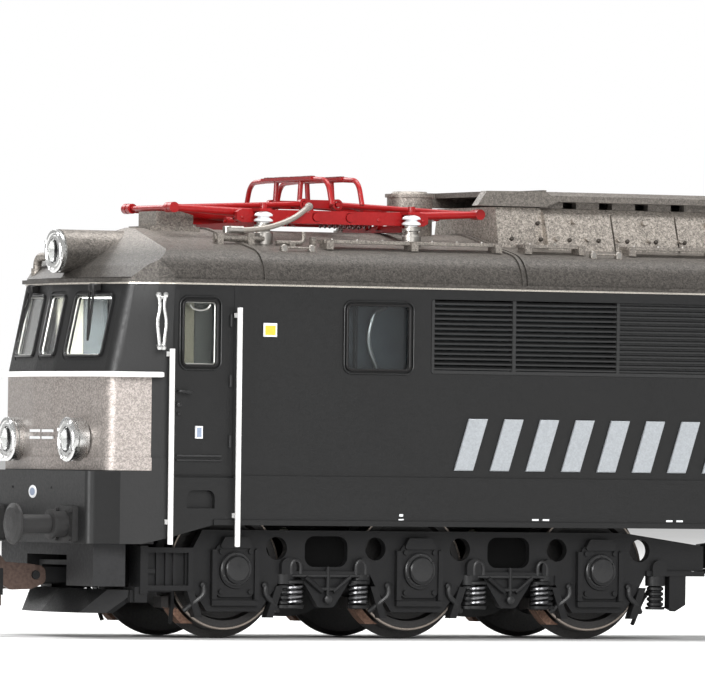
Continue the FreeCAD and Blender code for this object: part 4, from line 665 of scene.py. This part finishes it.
def wiper_arms():
    """Each wiper as a drive box, a hub and two slim arms that meet at the foot of a thin blade."""
    made = Piece("wiper_arms", "body", "black_trim", swaps=("wipers",))
    for points in loose_parts("wipers"):
        low, high = extent(points)
        out = Vector((math.copysign(1, low.x), 0, 0))
        box_low, box_high = extent([p for p in points if p.z > high.z - 0.9])
        foot = [p for p in points if p.z < low.z + 0.3]
        end = sum(foot, Vector()) / len(foot)
        start = (box_low + box_high) / 2
        start.x = max(box_low.x, box_high.x, key=abs) - out.x * 0.25
        made.brick(box_low, box_high, None, 0.15)
        made.lathe([(-0.3, 0.5), (0.2, 0.5), (0.35, 0.3)], start, out, steps=16)
        for side in SIDES:
            shoulder = start.lerp(end, 0.2) + Vector((0, side * 0.48, 0))
            made.tube(smooth_path([start + Vector((0, side * 0.4, 0)), shoulder, start.lerp(end, 0.9)], 5),
                      (0.23, 0.15), steps=8)
        made.tube([start.lerp(end, 0.42) + out * 0.08, end + out * 0.08], (0.28, 0.16), steps=8)
        tie = start.lerp(end, 0.5)
        made.tube([tie - Vector((0, 0.42, 0)), tie + Vector((0, 0.42, 0))], 0.13, steps=8)
    made.done()


# ---------------- lamps
def headlamps():
    """Stepped bezel rings, reflector, bulb and domed glass for each lamp."""
    rings = Piece("headlamp_rings", "body", "bezel_metal", ("headlamp_bezels",))
    bowls = Piece("headlamp_reflectors", "body", "reflector_metal")
    glasses = Piece("headlamp_glasses", "body", "lamp_lens", ("headlamp_lenses",))
    for points in loose_parts("headlamp_bezels"):
        low, high = extent(points)
        out = Vector((math.copysign(1, low.x), 0, 0))
        centre = (low + high) / 2
        centre.x = max(low.x, high.x, key=abs)
        depth = high.x - low.x
        r = (high.y - low.y) / 2
        bezel = [(-depth, 0.97), (-0.62, 0.97), (-0.55, 0.9), (-0.4, 0.9), (-0.33, 1), (-0.08, 1),
                 (0.0, 0.94), (0.0, 0.84), (-0.1, 0.8), (-0.1, 0.74), (0.02, 0.7), (0.02, 0.58),
                 (-0.3, 0.53), (-0.3, 0.3)]
        rings.lathe([(along, r * share) for along, share in bezel], centre, out, steps=48)
        bowls.lathe([(-0.05, r * 0.535), (-0.2, r * 0.5), (-0.27, r * 0.3), (-0.28, 0)], centre, out)
        bulb = [(-0.3, 0.3), (-0.18, 0.3), (-0.1, 0.22), (-0.05, 0.0)]
        bowls.lathe(bulb, centre, out, "insulator_white", 16)
        glasses.lathe([(-0.02, r * 0.55), (0.06, r * 0.5), (0.16, r * 0.36), (0.22, r * 0.18), (0.24, 0)],
                      centre, out)
        for turn in (0.5, 2.1, 3.6, 5.2):
            clip = centre + Vector((0, math.cos(turn), math.sin(turn))) * r * 0.9
            half = Vector((0.14, 0.2, 0.2))
            rings.brick(clip - half, clip + half, edge=0.05)
    rings.done()
    bowls.done()
    glasses.done()


# ---------------- body trim
def on_side(side, x, z, lift=0.0):
    """Point on the body's side wall, or lift millimetres off it."""
    return Vector((x, side * (SIDE_Y + lift), z))


def side_plate(trim, side, x, z, width, height, slot, lift=0.07, lean=0.0, edge=0.03):
    """Thin plate that stands lift millimetres off the side wall; lean slants it."""
    sunk = 0.1
    corners = [on_side(side, x + a * width / 2 + b * lean / 2, z + b * height / 2, -sunk)
               for a, b in ((-1, -1), (1, -1), (1, 1), (-1, 1))]
    trim.slab(corners, (0, side * (sunk + lift), 0), slot, edge)


def gutter_line(trim):
    """Bright bead round the body where the roof meets it: a painted highlight along the gutter, in pale metal.
    """
    seam_z = millimetres("roof_panel")[0].z
    shell = frame["nodes"]["body_shell"]
    corners = [shell.matrix_world @ v.co / MM for v in shell.data.vertices]
    seam = [p for p in corners if abs(p.z - seam_z) < 0.05]
    loop = []
    for i in geometry.convex_hull_2d([Vector((p.x, p.y)) for p in seam]):
        point = Vector((seam[i].x, seam[i].y, seam_z))
        if not loop or (point - loop[-1]).length > 0.25:
            loop.append(point)
    trim.rim(loop, UP, (-0.3, 0.17), (-0.2, 0.16))


def door_fittings(trim, side, end):
    """Blank plates, handle, locks, kick strips and hinges of one cab door."""
    out = (0, side, 0)
    side_plate(trim, side, end * 75.95, 24.0, 0.95, 1.45, "mark_white")
    side_plate(trim, side, end * 75.95, 24.0, 0.6, 1.1, "mark_blue", 0.1)
    side_plate(trim, side, end * 66.9, 36.0, 1.75, 1.6, "mark_white")
    side_plate(trim, side, end * 66.9, 35.95, 1.35, 1.1, "mark_yellow", 0.1)
    grip = ((78.75, 28.75, 0), (78.7, 28.75, 0.5), (77.45, 28.6, 0.55), (77.1, 28.6, 0.45))
    handle = [on_side(side, end * x, z, lift) for x, z, lift in grip]
    trim.tube(smooth_path(handle, 5), 0.16, "body_edge", 8)
    trim.bolt(on_side(side, end * 78.6, 27.2), out, 0.3, 0.25, "body_edge")
    trim.bolt(on_side(side, end * 78.6, 26.1), out, 0.18, 0.2, "body_edge")
    for z in (20.75, 21.25):
        trim.tube([on_side(side, end * x, z, -0.03) for x in (78.8, 73.0)], 0.12, "body_edge", 6)
    for z in (37.0, 30.0, 23.0):
        trim.tube([on_side(side, end * 71.95, z + half) for half in (-0.7, 0.7)], 0.16, "body_edge", 8)


def side_marks(trim, side):
    """Slanted silver stripes, and short dashes on the sill where small print would be."""
    count, reach = 18, 40.4
    for i in range(count):
        x = -reach + i * 2 * reach / (count - 1)
        side_plate(trim, side, x, 22.95, 2.5, 6.1, "letter_silver", 0.12, lean=1.9, edge=0.12)
    for x in (-49.5, 49.5):
        side_plate(trim, side, x, 14.1, 0.7, 0.16, "mark_white", 0.02)
        side_plate(trim, side, x, 14.6, 0.5, 0.3, "mark_white", 0.02)
    for x in (-31.0, -13.0, 13.0, 31.0):
        for shift in (-0.7, 0.7):
            side_plate(trim, side, x + shift, 14.2, 0.9, 0.22, "mark_white", 0.02)


def beam_badge(trim, end):
    """Blank oval badge and two screws on the beam at one end."""
    front, badge_z = end * millimetres("body_shell")[1].x, 16.9
    for sunk, width, height, depth, slot, edge in ((0.1, 1.05, 0.75, 0.18, "mark_white", 0.03),
                                                   (0.0, 0.7, 0.45, 0.12, "mark_blue", 0.02)):
        oval = [(front - end * sunk, width * c, badge_z + height * s) for c, s in circle(24)]
        trim.slab(oval, (end * depth, 0, 0), slot, edge)
    for y in (-5.0, 5.6):
        trim.bolt((front, y, 17.4), (end, 0, 0), 0.16, 0.1, "black_trim")


def body_trim():
    """Gutter line, door fittings, blank plates, badges and the generic side stripes."""
    trim = Piece("body_trim", "body", "gutter_metal")
    gutter_line(trim)
    for side in SIDES:
        for end in SIDES:
            door_fittings(trim, side, end)
        side_marks(trim, side)
    for end in SIDES:
        beam_badge(trim, end)
    trim.done()


def nose_marks():
    """Two thin plain lines between the lamps, where a number would be."""
    marks = Piece("nose_marks", "body", "mark_white")
    face_x, flat_half, slope = 88.1, 2.6, math.tan(math.radians(9.0))
    for end in SIDES:
        for side in SIDES:
            for z in (23.2, 24.0):
                corners = []
                for y, height in ((0.35, -0.16), (3.1, -0.16), (3.1, 0.16), (0.35, 0.16)):
                    x = face_x - max(0.0, y - flat_half) * slope
                    corners.append((end * (x - 0.12), side * y, z + height))
                marks.slab(corners, (end * 0.17, 0, 0), None, 0.02)
    marks.done()


def cab_side_rods():
    """Slim bright twin rods with ball ends beside each cab, in place of plain blades."""
    rods = Piece("cab_side_rods", "body", "bezel_metal", ("wind_deflectors",))
    ball = [(-0.36, 0), (-0.28, 0.24), (0, 0.36), (0.28, 0.24), (0.36, 0)]
    for points in loose_parts("wind_deflectors"):
        low, high = extent(points)
        side = math.copysign(1, high.y)
        y = side * (max(abs(low.y), abs(high.y)) - 0.1)
        wall = side * (min(abs(low.y), abs(high.y)) + 0.3)
        middle, half_z = (low.x + high.x) / 2, (low.z + high.z) / 2
        for sign in SIDES:
            bends = ((0.45, high.z), (0.28, high.z - 1.4), (0.55, half_z), (0.36, low.z + 1.3),
                     (0.24, low.z + 0.2))
            path = [(middle + sign * spread, y, z) for spread, z in bends]
            rods.tube(smooth_path(path, 6), 0.21)
            for spread, z in ((0.26, low.z + 0.25), (0.45, high.z - 0.1)):
                rods.lathe(ball, (middle + sign * spread, y, z), UP, steps=14)
        for z in (low.z + 0.4, high.z - 0.4):
            rods.tube([(middle, wall, z), (middle, y, z)], 0.2)
            rods.tube([(middle - 0.5, y, z), (middle + 0.5, y, z)], 0.16)
    rods.done()


# ---------------- roof
def roof_insulators():
    """Two white porcelain sheds on a stepped metal foot, for each roof insulator."""
    made = Piece("roof_insulators", "body", "insulator_white", ("insulators",))
    # Distances below the top of the insulator, and radii.
    foot = [(2.55, 1.15), (2.45, 1.05), (2.3, 1.05), (2.25, 0.8), (1.95, 0.8), (1.9, 1.1), (1.6, 1.1),
            (1.55, 0.8), (1.4, 0.8)]
    sheds = [(1.42, 0.7), (1.3, 0.75), (1.2, 1.12), (1.06, 1.15), (0.9, 1.0), (0.72, 0.68), (0.64, 0.7),
             (0.56, 1.08), (0.42, 1.12), (0.25, 0.95), (0.08, 0.62), (0.0, 0.5)]
    cap = [(0.02, 0.5), (-0.25, 0.5), (-0.33, 0.35)]
    for points in loose_parts("insulators"):
        low, high = extent(points)
        place = Vector(((low.x + high.x) / 2, (low.y + high.y) / 2, 0))
        top = high.z
        made.lathe([(low.z, 1.15)] + [(top - drop, r) for drop, r in foot], place, UP, "foot_metal", 28)
        made.lathe([(top - drop, r) for drop, r in sheds], place, UP, steps=28)
        made.lathe([(top - drop, r) for drop, r in cap], place, UP, "pantograph_red", 16)
        for c, s in circle(4, math.pi / 4):
            made.bolt(place + Vector((0.98 * c, 0.98 * s, top - 1.9)), UP, 0.13, 0.2, "foot_metal")
    made.done()


def pantograph_leads():
    """Sagging supply cables with crimped sleeves, from the isolator up to the frame."""
    made = Piece("pantograph_leads", "body", "cable_grey", ("pantograph_cables",))
    whole = [p for points in loose_parts("pantograph_cables") for p in points]
    for end in SIDES:
        own = [p for p in whole if p.x * end > 0]
        low, high = extent(own)
        outer, inner = max(abs(p.x) for p in own), min(abs(p.x) for p in own)
        ground, top = low.z + 0.55, high.z - 0.5
        path = [(outer - 0.4, 10.25, ground), (outer - 3.0, 10.5, ground + 0.02),
                (outer - 6.0, 10.5, ground + 0.45), (outer - 9.0, 10.0, ground + 1.45),
                (inner + 1.9, 8.8, top - 0.4), (inner + 0.9, 7.8, top), (inner + 0.7, 7.35, top - 0.25)]
        path = smooth_path([(end * x, end * y, z) for x, y, z in path], 8)
        made.tube(path, 0.33, steps=12)
        made.tube(path[:7], 0.47, "foot_metal", 12)
        made.tube(path[-11:-3], 0.47, "foot_metal", 12)
        x, y = end * (outer - 0.4), end * 10.2
        made.brick((x - 0.4, y - 0.45, ground - 0.45), (x + 0.4, y + 0.45, ground + 0.4), "foot_metal", 0.1)
        made.lathe([(0, 0.5), (0.5, 0.5), (0.6, 0.35)], (end * (inner + 0.7), end * 7.4, top - 0.75), UP,
                   "pantograph_red", 16)
    made.done()


def roof_details():
    """Bolts along the resistor box and walkways, its two round covers, and clamps on the isolator bars."""
    made = Piece("roof_details", "body", "bolt_dark")
    low, high = millimetres("resistor_box")
    for side in SIDES:
        x = low.x + 1.2
        while x < high.x - 0.6:
            made.bolt((x, side * (high.y - 0.35), low.z + 1.25), (0, side, 0.35), 0.26, 0.28)
            x += 3.9
        for x in (-27.0, -16.5, -9.0, 3.0, 14.0, 27.0):
            made.bolt((x, side * 8.05, 49.4), (0, side, 0.3), 0.24, 0.3)
        for x in (-11.7, 9.3):
            made.lathe([(-0.2, 0.55), (0.22, 0.55), (0.3, 0.45)], (x, side * 8.0, 47.9), (0, side, 0.25),
                       "roof_fitting_paint", 20)
            made.bolt((x, side * 8.28, 47.95), (0, side, 0.25), 0.2, 0.12)
    for points in loose_parts("roof_walkways"):
        low, high = extent(points)
        side = math.copysign(1, low.y)
        x = low.x + 1.6
        while x < high.x - 0.8:
            made.bolt((x, side * (abs(high.y + low.y) / 2 - 0.4), high.z), UP, 0.2, 0.2, "foot_metal")
            x += 3.3
    for points in loose_parts("roof_fittings"):
        low, high = extent(points)
        if 3.5 < high.x - low.x < 4.6 and abs(low.y) > 12:
            for x in (low.x + 0.35, high.x - 0.35):
                made.brick((x - 0.36, low.y - 0.01, low.z), (x + 0.36, high.y + 0.01, high.z + 0.05),
                           "foot_metal", 0.12)
    made.done()


# ---------------- pantographs
def pantograph_springs(end, middle):
    """Raising springs on their rod, spring seats and hinge bolts of one base frame."""
    base = Piece("pantograph_springs_" + end, "body", "pantograph_red")
    for side in SIDES:
        y = side * 1.5
        for start, start_z, end_x, end_z in ((-8.3, 49.0, -2.6, 49.1), (2.6, 49.1, 8.3, 49.0)):
            coil = helix((middle + start, y, start_z), (middle + end_x, y, end_z), 0.52, 9)
            base.tube(coil, 0.13, "pantograph_dark", 6)
        base.tube([(middle - 9.8, y, 49.0), (middle + 9.8, y, 49.0)], 0.16, steps=8)
        for x in (middle - 9.2, middle + 9.2):
            base.lathe([(-0.35, 0.62), (0.35, 0.62)], (x, y, 48.9), (1, 0, 0), steps=16)
        for x in (middle - 11.9, middle + 11.9, middle - 6.0, middle + 6.0):
            base.bolt((x, side * 7.75, 49.3), (0, side, 0), 0.24, 0.15)
    base.done()


def pantographs():
    """Springs on each base frame, and contact strips on each head."""
    for end in ENDS:
        low, high = millimetres("pantograph_head_" + end)
        pantograph_springs(end, (low.x + high.x) / 2)
        head = Piece("pantograph_strips_" + end, "pantograph_head_" + end, "pantograph_dark")
        for x in (low.x + 0.55, high.x - 0.55):
            for side in SIDES:
                head.brick((x - 0.32, side * 3.3 - 2.9, high.z - 0.12),
                           (x + 0.32, side * 3.3 + 2.9, high.z + 0.12), edge=0.06)
                head.bolt((x, side * 5.6, high.z + 0.05), UP, 0.14, 0.12, "foot_metal")
        head.done()


# ---------------- bogies
BOGIE_FACE_Y = 12.5


def axlebox(made, side, x, z, cover_y):
    """Round cover with its bolts, two rows of plate bolts and two hangers of one axlebox."""
    out = (0, side, 0)
    made.lathe([(-0.6, 2.0), (-0.1, 2.0), (0.0, 1.9), (0.0, 1.62), (-0.12, 1.6), (-0.12, 1.52), (0.3, 1.5),
                (0.42, 1.38), (0.46, 1.0), (0.5, 0)], (x, side * cover_y, z), out, "bogie_sheen", 36)
    for c, s in circle(6, math.pi / 6):
        made.bolt((x + 1.78 * c, side * cover_y, z + 1.78 * s), out, 0.13, 0.12, "bogie_sheen")
    for row in range(4):
        for edge in SIDES:
            made.bolt((x + edge * 2.9, side * (BOGIE_FACE_Y + 0.02), z + 2.2 - row * 1.35), out, 0.16, 0.16)
    for edge in SIDES:
        bends = ((4.0, 0.25, 1.9), (4.1, 0.3, 3.0), (5.2, 0.1, 4.0), (6.1, -0.6, 4.9))
        hanger = [(x + edge * along, side * (BOGIE_FACE_Y + lift), z - drop) for along, lift, drop in bends]
        made.tube(smooth_path(hanger, 5), 0.32, "bogie_sheen", 8)
        made.bolt(hanger[0], out, 0.42, 0.3)


def spring_pair(made, side, middle, z):
    """Equaliser plate midway between two axles, with a spring, its seats, a loop and a strut at each end."""
    face_y = side * BOGIE_FACE_Y
    y = side * (BOGIE_FACE_Y + 0.55)
    spring_y = side * (BOGIE_FACE_Y + 0.1)
    made.brick((middle - 5.4, min(y, face_y) - 0.1, z - 0.95), (middle + 5.4, max(y, face_y) + 0.1, z - 0.55),
               "bogie_sheen", 0.1)
    rising = [(-0.62, -0.6), (-0.62, 0.35), (-0.4, 0.85)]
    arch = rising + [(0, 1.05)] + [(-a, b) for a, b in reversed(rising)]
    for edge in SIDES:
        x = middle + edge * 4.25
        made.tube(smooth_path([(x + a, y, z + b) for a, b in arch], 4), 0.22, "bogie_sheen", 8)
        made.tube(helix((x, spring_y, z - 4.1), (x, spring_y, z - 1.6), 0.92, 4.5), 0.24, "spring_steel", 8)
        made.lathe([(-0.3, 1.2), (0.0, 1.2), (0.1, 1.05)], (x, spring_y, z - 1.35), UP, steps=20)
        made.lathe([(-0.1, 1.05), (0.0, 1.2), (0.3, 1.2)], (x, spring_y, z - 4.5), UP, steps=20)
        made.tube([(middle + edge * 2.9, y, z - 0.9), (middle + edge * 0.7, y, z - 2.6)], 0.28, steps=8)
    made.tube([(middle - 1.2, y, z - 2.3), (middle + 1.3, y, z - 2.3)], 0.2, "bogie_sheen", 8)
    made.tube([(middle, y, z + 0.3), (middle, y, z - 3.6)], 0.24, steps=8)
    made.bolt((middle, side * (BOGIE_FACE_Y + 0.7), z - 3.5), (0, side, 0), 0.5, 0.25, "bogie_sheen")


def sand_pipe(made, side, x, lean, z):
    """Pipe from the frame down to just above the rail, leaning towards the wheel."""
    pipe = [(x, side * 11.9, z + 2.0), (x, side * 11.9, z - 1.5), (x - lean * 0.6, side * 10.6, z - 3.6),
            (x - lean * 1.1, side * 9.2, z - 6.4)]
    made.tube(smooth_path(pipe, 6), 0.26, steps=8)


def bogie_details():
    """Axlebox covers, coil springs, hangers, equaliser plates and sand pipes of each bogie."""
    for end, sign in ENDS.items():
        made = Piece("bogie_fittings_" + end, "bogie_" + end, "black_plastic")
        boxes = [millimetres("wheelset_%s_%s" % (place, end)) for place in AXLES]
        outer, middle, inner = [(low.x + high.x) / 2 for low, high in boxes]
        z = (boxes[-1][0].z + boxes[-1][1].z) / 2
        cover_y = millimetres("bogie_frame_" + end)[1].y - 0.35
        for side in SIDES:
            for x in (outer, middle, inner):
                axlebox(made, side, x, z, cover_y)
            spring_pair(made, side, (outer + middle) / 2, z)
            spring_pair(made, side, (middle + inner) / 2, z)
            sand_pipe(made, side, outer + sign * 7.6, sign, z)
            sand_pipe(made, side, inner - sign * 7.6, -sign, z)
        made.done()


def wheel_rings():
    """Bright worn tread edge and hub cap on each wheel."""
    radius, wheel_y = 7.0, 10.0
    for end in ENDS:
        for place in AXLES:
            node = "wheelset_%s_%s" % (place, end)
            low, high = millimetres(node)
            x, z = (low.x + high.x) / 2, (low.z + high.z) / 2
            made = Piece("tread_ring_%s_%s" % (place, end), node, "tread_steel")
            for side in SIDES:
                y = side * wheel_y
                loop = [(x + radius * c, y, z + radius * s) for c, s in circle(96)]
                made.rim(loop, (0, side, 0), (-0.16, 0.17), (-0.25, 0.05))
                made.lathe([(-0.1, 1.6), (0.12, 1.5), (0.16, 0.9), (0.4, 0.8), (0.45, 0)], (x, y, z),
                           (0, side, 0), "wheel_metal", 24)
            made.done()


# ---------------- floor, light and camera
def floor():
    """Pale matt floor, far larger than the object."""
    half = 30.0
    corners = [(-half, -half, 0), (half, -half, 0), (half, half, 0), (-half, half, 0)]
    mesh = bpy.data.meshes.new("floor")
    mesh.from_pydata(corners, [], [(0, 1, 2, 3)])
    made = bpy.data.objects.new("floor", mesh)
    bpy.context.scene.collection.objects.link(made)
    paint = Paint("floor")
    slow = paint.noise(60.0, 2.0)
    paint.colour(paint.ramp(slow, [(0.3, (0.83, 0.83, 0.825)), (0.7, (0.86, 0.86, 0.855))]))
    paint.rough(paint.spread(slow, 0.85, 0.95))
    mesh.materials.append(paint.made)


def area_light(name, place, size, power, down=False):
    """Rectangular lamp that faces the object, or straight down."""
    data = bpy.data.lights.new(name, "AREA")
    data.shape = "RECTANGLE"
    data.size, data.size_y = size
    data.energy = power
    made = bpy.data.objects.new(name, data)
    bpy.context.scene.collection.objects.link(made)
    made.location = place
    ahead = Vector((0, 0, -1)) if down else Vector((-0.05, 0, 0.03)) - Vector(place)
    made.rotation_euler = ahead.to_track_quat("-Z", "Y").to_euler()
    return made


def lights():
    """White surroundings, brighter to the camera than as light, with soft lamps round the object."""
    world = bpy.data.worlds.new("studio")
    world.use_nodes = True
    background = world.node_tree.nodes["Background"]
    background.inputs["Color"].default_value = (1, 1, 1, 1)
    nodes, links = world.node_tree.nodes, world.node_tree.links
    path = nodes.new("ShaderNodeLightPath").outputs
    seen = nodes.new("ShaderNodeMath")
    seen.operation = "MAXIMUM"
    links.new(path["Is Camera Ray"], seen.inputs[0])
    links.new(path["Is Transmission Ray"], seen.inputs[1])
    strength = nodes.new("ShaderNodeMapRange")
    strength.inputs["To Min"].default_value = 0.55
    strength.inputs["To Max"].default_value = 1.0
    links.new(seen.outputs["Value"], strength.inputs["Value"])
    links.new(strength.outputs["Result"], background.inputs["Strength"])
    bpy.context.scene.world = world
    area_light("key", (-0.3, -1.15, 0.5), (0.6, 0.5), 12.0)
    area_light("top", (0.0, 0.1, 0.9), (0.9, 0.4), 11.0)
    area_light("far", (-0.2, 1.0, 0.6), (0.6, 0.4), 4.0)
    # This lamp only makes the narrow reflection on the rounded corner of the nose.
    area_light("corner", (-1.1, -0.5, 0.25), (0.3, 0.9), 26.0).visible_diffuse = False
    cab = millimetres("cab_interiors")[1]
    for end, sign in ENDS.items():
        place = (sign * (cab.x - 9.0) * MM, 0, (cab.z + 1.2) * MM)
        area_light("cab_" + end, place, (0.012, 0.02), 0.018, down=True)


def camera():
    """Long lens, low beside the front end, looking a little upwards and rolled slightly."""
    data = bpy.data.cameras.new("camera")
    data.sensor_width = 36.0
    data.lens = 490.0
    data.clip_start, data.clip_end = 0.01, 100.0
    made = bpy.data.objects.new("camera", data)
    bpy.context.scene.collection.objects.link(made)
    azimuth, pitch, roll = math.radians(-27.0), 0.01138, 0.012
    distance = 1160 * MM
    centre = Vector((-37.6, 19.2, 21.1)) * MM
    ahead = Vector((-math.sin(azimuth), math.cos(azimuth), 0))
    made.location = centre - ahead * distance
    look = Vector((ahead.x, ahead.y, math.tan(pitch))).normalized()
    made.rotation_mode = "QUATERNION"
    turned = look.to_track_quat("-Z", "Y").to_matrix() @ Matrix.Rotation(roll, 3, "Z")
    made.rotation_quaternion = turned.to_quaternion()
    bpy.context.scene.camera = made


# ---------------- build
paint_cad_nodes()
windows()
wiper_arms()
headlamps()
body_trim()
nose_marks()
cab_side_rods()
roof_insulators()
pantograph_leads()
roof_details()
pantographs()
bogie_details()
wheel_rings()
floor()
lights()
camera()
bpy.context.scene.view_settings.view_transform = "Standard"
